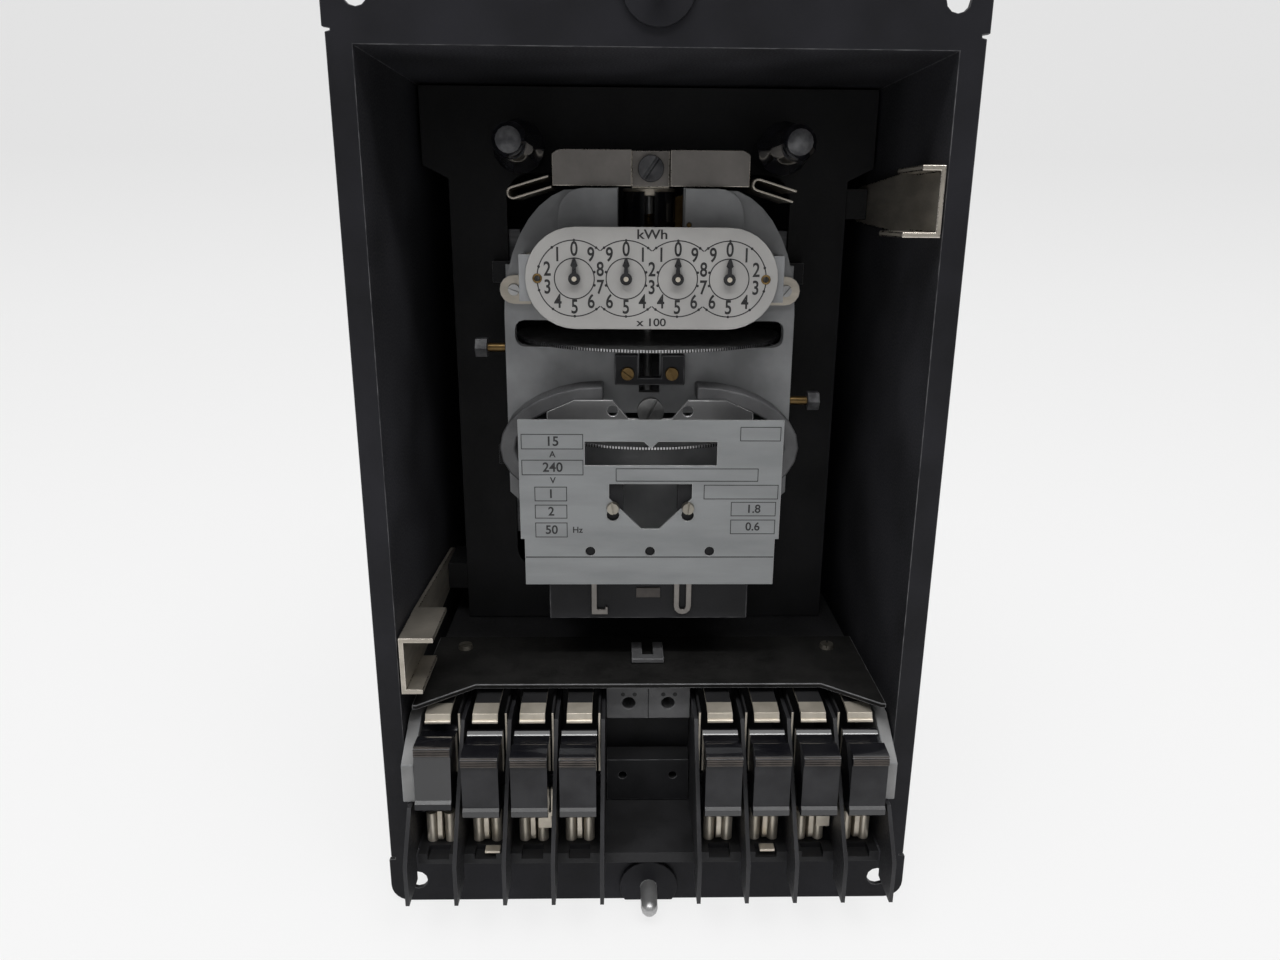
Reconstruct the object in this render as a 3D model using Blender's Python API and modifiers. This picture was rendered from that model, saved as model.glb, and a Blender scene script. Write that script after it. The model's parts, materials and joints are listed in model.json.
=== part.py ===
"""Switchboard watthour meter with four dials, in a semi-flush case with test switches.

Metres, +Z up, +Y into the case, +X to the right as seen from the front. The origin is the
centre of the opening, on the plane where the rear of the front flange meets the panel.
"""
import math

import bmesh
import bpy
from mathutils import Matrix, Vector

MM = 0.001

# Clearances
FIT_GAP = 0.3 * MM
RUN_GAP = 0.2 * MM

# Switch row, which sets the width of the case
SWITCH_PITCH = 14.9 * MM
SWITCH_PER_SIDE = 4
BASE_END_MARGIN = 6.45 * MM
BASE_SIDE_GAP = 3.8 * MM
BASE_HALF_WIDTH = (SWITCH_PER_SIDE + 0.5) * SWITCH_PITCH + BASE_END_MARGIN

# Case
SHEET = 1.6 * MM
OPENING_HALF_WIDTH = BASE_HALF_WIDTH + BASE_SIDE_GAP
OPENING_HALF_HEIGHT = 120.0 * MM
ROW_FLOOR = -OPENING_HALF_HEIGHT
CASE_DEPTH = 150.0 * MM
LIP_WIDTH = 6.85 * MM
FLANGE_HEIGHT = 20.0 * MM
FLANGE_OVERHANG = 0.7 * MM
FLANGE_CORNER_RADIUS = 6.0 * MM
NOTCH_OFFSET = 3.5 * MM
NOTCH_DEPTH = 1.3 * MM
NOTCH_HEIGHT = 1.2 * MM
PANEL_BOLT_INSET = 1.3 * MM
PANEL_BOLT_X = OPENING_HALF_WIDTH - PANEL_BOLT_INSET
PANEL_BOLT_RISE = 12.0 * MM
PANEL_BOLT_Z = OPENING_HALF_HEIGHT + PANEL_BOLT_RISE
PANEL_BOLT_RADIUS = 3.2 * MM
STUD_RISE = 14.0 * MM
STUD_Z = OPENING_HALF_HEIGHT + STUD_RISE
STUD_RADIUS = 2.7 * MM
STUD_LENGTH = 13.0 * MM
STUD_PAD_RADIUS = 9.5 * MM
STUD_PAD_THICKNESS = 1.2 * MM
STUD_PAD_EDGE = 0.6 * MM

# Rear terminals
TERMINAL_COLUMNS = 4
TERMINAL_PITCH = 30.0 * MM
TERMINAL_LOWER_RISE = 24.0 * MM
TERMINAL_UPPER_RISE = 50.0 * MM
TERMINAL_ROWS = (ROW_FLOOR + TERMINAL_LOWER_RISE, ROW_FLOOR + TERMINAL_UPPER_RISE)
TERMINAL_RADIUS = 3.0 * MM
TERMINAL_LENGTH = 24.0 * MM
TERMINAL_BLOCK_THICKNESS = 9.0 * MM
TERMINAL_BLOCK_MARGIN = 12.0 * MM
NUT_RADIUS = 5.8 * MM
NUT_HEIGHT = 4.8 * MM

# Chassis
CHASSIS_FRONT = 69.0 * MM
CHASSIS_SHEET = 1.6 * MM
CHASSIS_TOP_GAP = 0.8 * MM
CHASSIS_TOP = OPENING_HALF_HEIGHT - CHASSIS_TOP_GAP
CHASSIS_SHOULDER = 94.5 * MM
CHASSIS_WIDE_GAP = 1.3 * MM
CHASSIS_WIDE = OPENING_HALF_WIDTH - CHASSIS_WIDE_GAP
CHASSIS_NARROW_GAP = 9.8 * MM
CHASSIS_NARROW = OPENING_HALF_WIDTH - CHASSIS_NARROW_GAP
CHASSIS_WINDOW_HALF_WIDTH = 48.0 * MM
CHASSIS_WINDOW_TOP = 92.0 * MM
CHASSIS_WINDOW_BOTTOM = -50.0 * MM
CHASSIS_SPACER_RADIUS = 4.0 * MM
CHASSIS_SPACER_INSET = 19.3 * MM
CHASSIS_SPACER_X = OPENING_HALF_WIDTH - CHASSIS_SPACER_INSET

# Pillars beside the upper bearing, with their hairpin clips
PILLAR_X = 41.0 * MM
PILLAR_Z = 99.0 * MM
PILLAR_TIP = 15.0 * MM
PILLAR_RADIUS = 5.3 * MM
PILLAR_NECK_RADIUS = 6.6 * MM
PILLAR_COLLAR_RADIUS = 8.2 * MM
PILLAR_STRAIGHT = 24.0 * MM
PILLAR_SIDES = 16
CLIP_WIRE = 0.7 * MM
CLIP_DEPTH = 26.0 * MM
CLIP_LENGTH = 13.5 * MM
CLIP_RISE = 4.0 * MM
CLIP_GAP = 2.6 * MM

# Latch arms
LATCH_HEIGHT = 18.7 * MM
LATCH_SHEET = 1.5 * MM
LATCH_WALL_GAP = 0.8 * MM
LATCH_FRONT = -3.0 * MM
LATCH_PIVOT_Y = 84.0 * MM
LATCH_UPPER_Z = 83.0 * MM
LATCH_LOWER_RISE = 66.5 * MM
LATCH_LOWER_Z = ROW_FLOOR + LATCH_LOWER_RISE
LATCH_TAIL_HALF_HEIGHT = 6.0 * MM
LATCH_GRIP_LENGTH = 23.0 * MM
LATCH_WIDE_FLANGE = 10.5 * MM
LATCH_NARROW_FLANGE = 6.5 * MM
LATCH_PIN_RADIUS = 2.0 * MM
LATCH_BRACKET_HALF = 5.0 * MM

# Rotor: one shaft with two discs
SHAFT_Y = 68.4 * MM
SHAFT_RADIUS = 1.5 * MM
SHAFT_BOTTOM = -22.0 * MM
SHAFT_TOP = 90.0 * MM
FRAME_HALF_WIDTH = 47.0 * MM
WINDOW_SIDE_BAR = 3.2 * MM
WINDOW_HALF_WIDTH = FRAME_HALF_WIDTH - WINDOW_SIDE_BAR
DISC_PAST_WINDOW = 1.7 * MM
DISC_RADIUS = WINDOW_HALF_WIDTH + DISC_PAST_WINDOW
DISC_THICKNESS = 0.9 * MM
UPPER_DISC_Z = 39.0 * MM
LOWER_DISC_Z = 8.5 * MM
HUB_RADIUS = 4.0 * MM
HUB_HEIGHT = 5.0 * MM
WORM_Z = 76.0 * MM
WORM_TURNS = 4
WORM_PITCH = 1.6 * MM
WORM_WIRE = 0.45 * MM

# Die-cast meter frame
FRAME_FRONT = 44.0 * MM
FRAME_THICKNESS = 5.0 * MM
FRAME_SHOULDER_Z = 48.0 * MM
FRAME_TOP = 87.2 * MM
FRAME_SHOULDER_X = 22.0 * MM
FRAME_BOTTOM = -46.0 * MM
FRAME_CORNER = 8.0 * MM
FRAME_WAIST_Z = -12.0 * MM
FRAME_FOOT_INSET = 10.0 * MM
FRAME_FOOT_HALF = FRAME_HALF_WIDTH - FRAME_FOOT_INSET
WINDOW_HEIGHT = 8.6 * MM
WINDOW_BELOW = 1.6 * MM
WINDOW_CORNER = 3.0 * MM
SHAFT_SLOT_HALF = 3.4 * MM
SHAFT_SLOT_DEPTH = 15.0 * MM
NOTCH_HALF_WIDTH = 10.3 * MM
NOTCH_BOTTOM = 62.0 * MM
BOSS_HALF_WIDTH = 29.0 * MM
BOSS_BOTTOM = 70.0 * MM
BOSS_STEP = 3.0 * MM
LEG_INNER_INSET = 7.0 * MM
LEG_INNER_X = FRAME_HALF_WIDTH - LEG_INNER_INSET
LEG_OUTER_INSET = 0.5 * MM
LEG_OUTER_X = FRAME_HALF_WIDTH - LEG_OUTER_INSET
FOOT_REACH = 6.0 * MM
FOOT_OUTER_X = FRAME_HALF_WIDTH + FOOT_REACH
FOOT_HEIGHT = 5.0 * MM
LEG_HALF = 3.5 * MM
LEG_LOWER_Z = -4.0 * MM
LEG_UPPER_Z = 60.0 * MM

# Upper bearing
STRIP_HALF_WIDTH = 31.0 * MM
STRIP_FRONT = 45.0 * MM
STRIP_BOTTOM = FRAME_TOP + FIT_GAP
STRIP_TOP = 98.6 * MM
STRIP_SHEET = 1.4 * MM
STRIP_CORNER = 5.0 * MM
RECESS_HALF_WIDTH = 6.0 * MM
RECESS_DEPTH = 5.0 * MM
COLLAR_RADIUS = 8.8 * MM
COLLAR_HEIGHT = 2.4 * MM
SHIELD_RADIUS = 9.9 * MM
SHIELD_SHEET = 1.4 * MM
SHIELD_HEIGHT = 13.0 * MM
SHIELD_SLOT_DEG = 10
SHIELD_WRAP_DEG = 62
BEARING_HEAD_RADIUS = 4.1 * MM
BEARING_HEAD_HEIGHT = 3.0 * MM
BEARING_HEAD_Z = 93.0 * MM
BEARING_SLOT_TURN = -55
SLOT_WIDTH = 0.9 * MM
SLOT_DEPTH = 0.9 * MM

# Register and its dial
DIAL_FRONT = 28.4 * MM
DIAL_THICKNESS = 0.8 * MM
DIAL_HALF_LENGTH = 38.5 * MM
DIAL_HALF_HEIGHT = 15.2 * MM
DIAL_Z = 60.3 * MM
DIAL_PITCH = 15.7 * MM
DIAL_COUNT = 4
REGISTER_PLATE = 1.2 * MM
REGISTER_HALF_LENGTH = 40.5 * MM
REGISTER_HALF_HEIGHT = 7.0 * MM
EYELET_X = 34.8 * MM
EYELET_RADIUS = 1.1 * MM
REGISTER_EAR_X = 43.5 * MM
REGISTER_EAR_Z = 55.8 * MM
REGISTER_EAR_RADIUS = 4.6 * MM
ARBOR_RADIUS = 0.7 * MM
POINTER_LENGTH = 6.3 * MM
POINTER_BELLY = 3.9 * MM
POINTER_NECK = 0.55 * MM
POINTER_CAP = 0.4 * MM
POINTER_HUB_RADIUS = 1.85 * MM
POINTER_THICKNESS = 0.8 * MM
POINTER_LIFT = 0.9 * MM
WHEEL_TEETH = 60
PINION_TEETH = 6
TOOTH_ADDENDUM = 0.2 * MM
TOOTH_DEDENDUM = 0.3 * MM
MESH_SLACK = 0.3 * MM
GEAR_WIDTH = 1.2 * MM
GEAR_LEVEL_STEP = 2.6 * MM
WORM_WHEEL_RADIUS = 9.6 * MM
WORM_WHEEL_TEETH = 50
IDLER_TEETH = 54
IDLER_X = 23.0 * MM
IDLER_Z = 73.4 * MM

# Brake magnets and plates at the lower disc
MAGNET_FRONT = 32.0 * MM
MAGNET_REACH = 1.5 * MM
MAGNET_OUTER_X = FRAME_HALF_WIDTH + MAGNET_REACH
MAGNET_INNER_X = 15.0 * MM
MAGNET_TOP_Z = 26.5 * MM
MAGNET_BAR = 5.0 * MM
MAGNET_BOTTOM_Z = -14.0 * MM
KEEPER_SHEET = 1.6 * MM
KEEPER_HALF_WIDTH = 33.0 * MM
KEEPER_TOP = 22.5 * MM
KEEPER_END_Z = 18.5 * MM
KEEPER_NOTCH_HALF = 7.0 * MM
KEEPER_NOTCH_Z = 16.5 * MM
KEEPER_SCREW_Z = 19.5 * MM
KEEPER_BOTTOM = 13.0 * MM
KEEPER_HOLE_X = 12.0 * MM
KEEPER_HOLE_Z = 19.0 * MM
KEEPER_HOLE_RADIUS = 1.7 * MM
KEEPER_SCREW_RADIUS = 4.2 * MM
KEEPER_SLOT_TURN = -65
ADJUSTER_HALF_WIDTH = 11.4 * MM
ADJUSTER_BOTTOM = 28.0 * MM
ADJUSTER_TOP = 35.4 * MM
ADJUSTER_DEPTH = 4.0 * MM
ADJUSTER_BRIDGE = 2.4 * MM
SIDE_SCREW_RADIUS = 1.5 * MM
SIDE_SCREW_LENGTH = 10.0 * MM
SIDE_NUT_RADIUS = 3.4 * MM
SIDE_NUT_LENGTH = 4.2 * MM
SIDE_LEFT_Z = 36.8 * MM
SIDE_RIGHT_Z = 19.4 * MM

# Nameplate
PLATE_FRONT = 18.4 * MM
PLATE_THICKNESS = 0.8 * MM
PLATE_HALF_WIDTH = 41.0 * MM
PLATE_TOP = 18.7 * MM
PLATE_BOTTOM = -35.5 * MM
PLATE_STEP_Z = -20.0 * MM
PLATE_STEP = 1.2 * MM
PLATE_SLOT_HALF_WIDTH = 20.5 * MM
PLATE_SLOT_TOP = 11.8 * MM
PLATE_SLOT_BOTTOM = 4.2 * MM
PLATE_INDEX = 2.2 * MM
PLATE_CUT_TOP = -1.8 * MM
PLATE_CUT_BEND = -6.5 * MM
PLATE_CUT_BOTTOM = -16.6 * MM
PLATE_CUT_HALF_TOP = 13.0 * MM
PLATE_CUT_HALF_BOTTOM = 2.8 * MM
PLATE_HOLE_X = 19.0 * MM
PLATE_HOLE_Z = -24.2 * MM
PLATE_HOLE_RADIUS = 1.6 * MM
PLATE_KEY_X = 11.8 * MM
PLATE_KEY_Z = -12.0 * MM
PLATE_KEY_RADIUS = 2.0 * MM
CARRIER_HALF_WIDTH = 34.0 * MM
CARRIER_THICKNESS = 3.0 * MM
CARRIER_TOP = 1.5 * MM
CARRIER_SLOT_HALF = 8.5 * MM
CARRIER_ARM = 6.0 * MM
CARRIER_ARM_Z = -24.0 * MM

# Block below the nameplate
FRONT_BLOCK_HALF_WIDTH = 33.0 * MM
FRONT_BLOCK_TOP = -37.0 * MM
FRONT_BLOCK_BOTTOM = -51.0 * MM
FRONT_BLOCK_FRONT = 26.0 * MM
HOOK_X = -17.2 * MM
HOOK_REACH = 3.6 * MM
HOOK_RISE = 2.7 * MM
LOOP_RADIUS = 2.9 * MM
LOOP_X = 11.2 * MM
LAG_STRIP = 1.0 * MM
LAG_STRIP_WIDTH = 1.8 * MM

# Electromagnets
CORE_HALF_WIDTH = 56.0 * MM
CORE_DEPTH = 30.0 * MM
CORE_RECESS = 10.0 * MM
YOKE_DEPTH = 4.0 * MM
CORE_LAYERS = ((42.5 * MM, 74.0 * MM), (12.0 * MM, 35.0 * MM), (-36.0 * MM, 5.0 * MM))
COIL_HALF_WIDTH = 30.0 * MM
COIL_INSET = 4.0 * MM

# Test switches
HINGE_Y = -1.6 * MM
HINGE_RISE = 7.5 * MM
HINGE_Z = ROW_FLOOR + HINGE_RISE
POST_RADIUS = 1.5 * MM
POST_SPACING = 5.8 * MM
POST_RISE = 11.0 * MM
POST_TOP = ROW_FLOOR + POST_RISE
BLADE_THICKNESS = 1.5 * MM
BLADE_HALF_DEPTH = 3.0 * MM
BLADE_RISE = 40.5 * MM
BLADE_TOP = ROW_FLOOR + BLADE_RISE
HANDLE_WIDTH = 11.2 * MM
HANDLE_FRONT = -13.3 * MM
HANDLE_TOP_RISE = 42.0 * MM
HANDLE_TOP = ROW_FLOOR + HANDLE_TOP_RISE
HANDLE_BOTTOM_RISE = 20.2 * MM
HANDLE_BOTTOM = ROW_FLOOR + HANDLE_BOTTOM_RISE
HANDLE_BACK = 2.4 * MM
HANDLE_SHOULDER = 12.0 * MM
HANDLE_RIDGE_Y = -7.2 * MM
HANDLE_RIDGE = 1.1 * MM
HANDLE_SADDLE = 1.2 * MM
HANDLE_GRIP = 3.6 * MM
HANDLE_GRIP_STEP = 0.6 * MM
HANDLE_LIP = 3.6 * MM
HANDLE_LIP_STEP = 0.9 * MM
HOME_TURN_DEG = -7
BASE_FLOOR_RISE = 4.0 * MM
BASE_FLOOR = ROW_FLOOR + BASE_FLOOR_RISE
BASE_FRONT = -9.2 * MM
BASE_WALL = 28.0 * MM
BASE_REAR = 100.0 * MM
INSERT_SINK = 1.0 * MM
FIN_THICKNESS = 1.2 * MM
FIN_FRONT = -21.6 * MM
FIN_TIP_RISE = 9.0 * MM
FIN_TIP_TOP = ROW_FLOOR + FIN_TIP_RISE
FIN_TIP_DROP = 5.0 * MM
FIN_TIP_BOTTOM = ROW_FLOOR - FIN_TIP_DROP
FIN_CREST_Y = 4.0 * MM
FIN_RISE = 44.0 * MM
FIN_TOP = ROW_FLOOR + FIN_RISE
SPINE_HEIGHT = 4.0 * MM
POCKET_HALF_WIDTH = 3.4 * MM
POCKET_DEPTH = 2.0 * MM
JAW_WIDTH = 8.0 * MM
JAW_SHEET = 0.9 * MM
JAW_RISE = 48.0 * MM
JAW_TOP = ROW_FLOOR + JAW_RISE
JAW_BEND_Y = 7.6 * MM
JAW_TIP_Y = 1.5 * MM
JAW_TIP_RISE = 44.4 * MM
JAW_TIP_Z = ROW_FLOOR + JAW_TIP_RISE
LEAF_RISE = 25.0 * MM
LEAF_BOTTOM = ROW_FLOOR + LEAF_RISE
LEAF_SHEET = 0.7 * MM
LEAF_FRONT = 4.2 * MM
LEAF_WIDTH = 2.7 * MM
LEAF_ROOT = 5.4 * MM
CONTACT_FRONT = 18.0 * MM
CONTACT_TOP_RISE = 47.5 * MM
CONTACT_TOP = ROW_FLOOR + CONTACT_TOP_RISE
CONTACT_BOTTOM_RISE = 36.0 * MM
CONTACT_BOTTOM = ROW_FLOOR + CONTACT_BOTTOM_RISE
CONTACT_HALF_WIDTH = 14.0 * MM
CONTACT_HOLE_X = 6.6 * MM
CONTACT_HOLE_RADIUS = 2.15 * MM
LOWER_CONTACT_RISE = 20.0 * MM
LOWER_HOLE_X = 8.6 * MM
LOWER_HOLE_RISE = 14.0 * MM
LOWER_HOLE_RADIUS = 1.4 * MM
CHEEK_REACH = 1.5 * MM
CHEEK_FRONT = -9.0 * MM
CHEEK_TOP_RISE = 45.0 * MM
CHEEK_TOP = ROW_FLOOR + CHEEK_TOP_RISE
CHEEK_SHOULDER_RISE = 36.0 * MM
CHEEK_SHOULDER = ROW_FLOOR + CHEEK_SHOULDER_RISE
CHEEK_BOTTOM_RISE = 23.0 * MM
CHEEK_BOTTOM = ROW_FLOOR + CHEEK_BOTTOM_RISE
CHEEK_CREST_Y = 6.0 * MM

# Insulating shelf over the switches
SHELF_RISE = 50.0 * MM
SHELF_Z = ROW_FLOOR + SHELF_RISE
SHELF_THICKNESS = 1.6 * MM
SHELF_FRONT = 13.0 * MM
SHELF_REAR = 48.4 * MM
SHELF_STRAIGHT_INSET = 20.8 * MM
SHELF_STRAIGHT_HALF = OPENING_HALF_WIDTH - SHELF_STRAIGHT_INSET
SHELF_HORN_Y = 0.0 * MM
SHELF_HORN_INSET = 4.3 * MM
SHELF_HORN_X = OPENING_HALF_WIDTH - SHELF_HORN_INSET
SHELF_SIDE_GAP = 2.8 * MM
SHELF_HALF_WIDTH = OPENING_HALF_WIDTH - SHELF_SIDE_GAP
SHELF_CLIP_HALF_WIDTH = 5.5 * MM
SHELF_CLIP_ARM = 3.6 * MM
SHELF_CLIP_FRONT = 27.0 * MM
SHELF_CLIP_REAR = 40.0 * MM

WELD = 0.001 * MM
ARC_STEPS = 6
ROUND_SIDES = 20
SMALL_SIDES = 12

FRONT_VIEW = Matrix(((1, 0, 0, 0), (0, 0, -1, 0), (0, 1, 0, 0), (0, 0, 0, 1)))
SIDE_VIEW = Matrix(((0, 0, 1, 0), (1, 0, 0, 0), (0, 1, 0, 0), (0, 0, 0, 1)))
PLAN_VIEW = Matrix.Identity(4)


# Scene and materials

def clear_scene():
    for obj in list(bpy.data.objects):
        bpy.data.objects.remove(obj, do_unlink=True)


def new_collection(name):
    collection = bpy.data.collections.new(name)
    bpy.context.scene.collection.children.link(collection)
    return collection


def make_material(name, colour, roughness, metallic):
    material = bpy.data.materials.new(name)
    material.use_nodes = True
    shader = material.node_tree.nodes["Principled BSDF"]
    shader.inputs["Base Color"].default_value = (*colour, 1.0)
    shader.inputs["Roughness"].default_value = roughness
    shader.inputs["Metallic"].default_value = metallic
    return material


clear_scene()
PARTS = new_collection("watthour_meter")
CUTTERS = new_collection("watthour_meter_cutters")

BLACK_PAINT = make_material("black_paint", (0.018, 0.018, 0.022), 0.45, 0.0)
GREY_CASTING = make_material("grey_casting", (0.25, 0.26, 0.28), 0.55, 0.0)
NICKEL = make_material("nickel", (0.55, 0.5, 0.42), 0.3, 1.0)
STEEL = make_material("steel", (0.45, 0.45, 0.46), 0.35, 1.0)
BRASS = make_material("brass", (0.5, 0.36, 0.15), 0.35, 1.0)
ALUMINIUM = make_material("aluminium", (0.62, 0.63, 0.64), 0.4, 1.0)
DIAL_WHITE = make_material("dial_white", (0.72, 0.72, 0.7), 0.5, 0.0)
POINTER_BLACK = make_material("pointer_black", (0.012, 0.012, 0.014), 0.4, 0.0)
BAKELITE = make_material("bakelite", (0.02, 0.02, 0.022), 0.35, 0.0)
GREY_MOULDING = make_material("grey_moulding", (0.16, 0.16, 0.17), 0.5, 0.0)
MAGNET_GREY = make_material("magnet_grey", (0.1, 0.1, 0.105), 0.5, 0.3)
COIL_TAPE = make_material("coil_tape", (0.05, 0.035, 0.025), 0.7, 0.0)


# Mesh helpers

def add_object(name, mesh, material, collection=None):
    obj = bpy.data.objects.new(name, mesh)
    (collection or PARTS).objects.link(obj)
    mesh.materials.clear()
    mesh.materials.append(material)
    mesh.shade_smooth()
    mesh.set_sharp_from_angle(angle=math.radians(35))
    return obj


def mesh_object(name, bm, material, collection=None):
    mesh = bpy.data.meshes.new(name)
    bm.to_mesh(mesh)
    bm.free()
    return add_object(name, mesh, material, collection)


def block(bm, low, high):
    low = Vector(low)
    high = Vector(high)
    place = Matrix.Translation((low + high) / 2) @ Matrix.Diagonal((*(high - low), 1.0))
    bmesh.ops.create_cube(bm, size=1.0, matrix=place)


def rod(bm, start, end, radius, sides=SMALL_SIDES, end_radius=None):
    start = Vector(start)
    end = Vector(end)
    along = end - start
    turn = Vector((0, 0, 1)).rotation_difference(along).to_matrix().to_4x4()
    place = Matrix.Translation((start + end) / 2) @ turn
    last = radius if end_radius is None else end_radius
    bmesh.ops.create_cone(bm, cap_ends=True, segments=sides, radius1=radius, radius2=last,
                          depth=along.length, matrix=place)


def arc(centre, radius, start_deg, end_deg, steps=ARC_STEPS):
    points = []
    for i in range(steps + 1):
        angle = math.radians(start_deg + (end_deg - start_deg) * i / steps)
        points.append((centre[0] + radius * math.cos(angle), centre[1] + radius * math.sin(angle)))
    return points


def circle(centre, radius, sides=ROUND_SIDES):
    return arc(centre, radius, 0, 360, sides)[:-1]


def rounded_box(low, high, radius, steps=ARC_STEPS):
    x0, y0 = low[0] + radius, low[1] + radius
    x1, y1 = high[0] - radius, high[1] - radius
    return (arc((x1, y0), radius, -90, 0, steps) + arc((x1, y1), radius, 0, 90, steps)
            + arc((x0, y1), radius, 90, 180, steps) + arc((x0, y0), radius, 180, 270, steps))


def rectangle(low, high):
    return [(low[0], low[1]), (high[0], low[1]), (high[0], high[1]), (low[0], high[1])]


def evaluated_mesh(obj):
    depsgraph = bpy.context.evaluated_depsgraph_get()
    return bpy.data.meshes.new_from_object(obj.evaluated_get(depsgraph))


def curve_mesh(name, curve, place):
    guide = bpy.data.objects.new(name + "_curve", curve)
    guide.matrix_world = place
    CUTTERS.objects.link(guide)
    mesh = evaluated_mesh(guide)
    mesh.transform(place)
    bm = bmesh.new()
    bm.from_mesh(mesh)
    bmesh.ops.remove_doubles(bm, verts=bm.verts, dist=WELD)
    bmesh.ops.dissolve_degenerate(bm, dist=WELD, edges=bm.edges)
    bmesh.ops.recalc_face_normals(bm, faces=bm.faces)
    bpy.data.objects.remove(guide, do_unlink=True)
    bpy.data.meshes.remove(mesh)
    return bm


def plate(name, loops, thickness, view, middle):
    """Flat outline with holes; the first loop is the rim, middle is the offset along the normal."""
    curve = bpy.data.curves.new(name, "CURVE")
    curve.dimensions = "2D"
    curve.fill_mode = "BOTH"
    curve.extrude = thickness / 2
    for loop in loops:
        spline = curve.splines.new("POLY")
        spline.points.add(len(loop) - 1)
        for point, (u, v) in zip(spline.points, loop):
            point.co = (u, v, 0, 1)
        spline.use_cyclic_u = True
    return curve_mesh(name, curve, view @ Matrix.Translation((0, 0, middle)))


def front_plate(name, loops, front, thickness):
    return plate(name, loops, thickness, FRONT_VIEW, -(front + thickness / 2))


def side_plate(name, loops, left, thickness):
    return plate(name, loops, thickness, SIDE_VIEW, left + thickness / 2)


def plan_plate(name, loops, bottom, thickness):
    return plate(name, loops, thickness, PLAN_VIEW, bottom + thickness / 2)


def wire(name, points, radius, cyclic=False):
    curve = bpy.data.curves.new(name, "CURVE")
    curve.dimensions = "3D"
    curve.bevel_depth = radius
    curve.bevel_resolution = 2
    curve.use_fill_caps = True
    spline = curve.splines.new("POLY")
    spline.points.add(len(points) - 1)
    for point, co in zip(spline.points, points):
        point.co = (*co, 1)
    spline.use_cyclic_u = cyclic
    return curve_mesh(name, curve, Matrix.Identity(4))


def turned(name, profile, place, steps=ROUND_SIDES):
    """Profile of (radius, height) pairs, listed from the top to the bottom of the outer side."""
    mesh = bpy.data.meshes.new(name)
    points = [(radius, 0, height) for radius, height in profile]
    mesh.from_pydata(points, [(i, i + 1) for i in range(len(points) - 1)], [])
    guide = bpy.data.objects.new(name, mesh)
    CUTTERS.objects.link(guide)
    screw = guide.modifiers.new("turn", "SCREW")
    screw.steps = steps
    screw.render_steps = steps
    screw.use_merge_vertices = True
    screw.merge_threshold = WELD
    bm = bmesh.new()
    result = evaluated_mesh(guide)
    result.transform(place)
    bm.from_mesh(result)
    bpy.data.objects.remove(guide, do_unlink=True)
    bpy.data.meshes.remove(result)
    return bm


def add_bm(target, source):
    """Put the faces of one bmesh into another as a separate body."""
    mesh = bpy.data.meshes.new("joined")
    source.to_mesh(mesh)
    source.free()
    target.from_mesh(mesh)
    bpy.data.meshes.remove(mesh)


def boolean(target, bm, operation):
    tool = mesh_object(f"{target.name}_{operation.lower()}", bm, target.data.materials[0], CUTTERS)
    tool.hide_render = True
    tool.display_type = "WIRE"
    modifier = target.modifiers.new(operation.lower(), "BOOLEAN")
    modifier.operation = operation
    modifier.object = tool


def set_origin(obj, point):
    obj.data.transform(Matrix.Translation(-Vector(point)))
    obj.location = point


# Case and panel side

def mirrored(points):
    """A right-hand half outline followed by its mirror image, as one closed loop."""
    return points + [(-u, v) for u, v in reversed(points)]


def flange_loops():
    lip_x = OPENING_HALF_WIDTH + LIP_WIDTH
    flange_x = lip_x + FLANGE_OVERHANG
    top = OPENING_HALF_HEIGHT + FLANGE_HEIGHT
    notch = OPENING_HALF_HEIGHT + NOTCH_OFFSET
    upper = [(lip_x, notch - NOTCH_HEIGHT / 2), (lip_x - NOTCH_DEPTH, notch - NOTCH_HEIGHT / 4),
             (lip_x - NOTCH_DEPTH, notch + NOTCH_HEIGHT / 4), (flange_x, notch + NOTCH_HEIGHT / 2)]
    upper += arc((flange_x - FLANGE_CORNER_RADIUS, top - FLANGE_CORNER_RADIUS),
                 FLANGE_CORNER_RADIUS, 0, 90)
    lower = [(u, -v) for u, v in reversed(upper)]
    bolts = [circle((x, z), PANEL_BOLT_RADIUS, SMALL_SIDES)
             for x in (-PANEL_BOLT_X, PANEL_BOLT_X) for z in (-PANEL_BOLT_Z, PANEL_BOLT_Z)]
    return [mirrored(lower + upper)] + bolts


def terminal_places():
    first = -(TERMINAL_COLUMNS - 1) / 2 * TERMINAL_PITCH
    return [(first + i * TERMINAL_PITCH, z) for z in TERMINAL_ROWS for i in range(TERMINAL_COLUMNS)]


def make_case():
    """Box hollowed from the front, with the flange joined inside its wall."""
    front = FIT_GAP - SHEET
    outer = bmesh.new()
    block(outer, (-OPENING_HALF_WIDTH - SHEET, front, -OPENING_HALF_HEIGHT - SHEET),
          (OPENING_HALF_WIDTH + SHEET, CASE_DEPTH + SHEET, OPENING_HALF_HEIGHT + SHEET))
    case = mesh_object("case_shell", outer, BLACK_PAINT)
    boolean(case, front_plate("flange", flange_loops(), -SHEET, SHEET), "UNION")
    room = bmesh.new()
    block(room, (-OPENING_HALF_WIDTH, -2 * SHEET, -OPENING_HALF_HEIGHT),
          (OPENING_HALF_WIDTH, CASE_DEPTH, OPENING_HALF_HEIGHT))
    boolean(case, room, "DIFFERENCE")
    holes = bmesh.new()
    for x, z in terminal_places():
        rod(holes, (x, CASE_DEPTH - SHEET, z), (x, CASE_DEPTH + 2 * SHEET, z), 2 * TERMINAL_RADIUS)
    boolean(case, holes, "DIFFERENCE")


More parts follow.
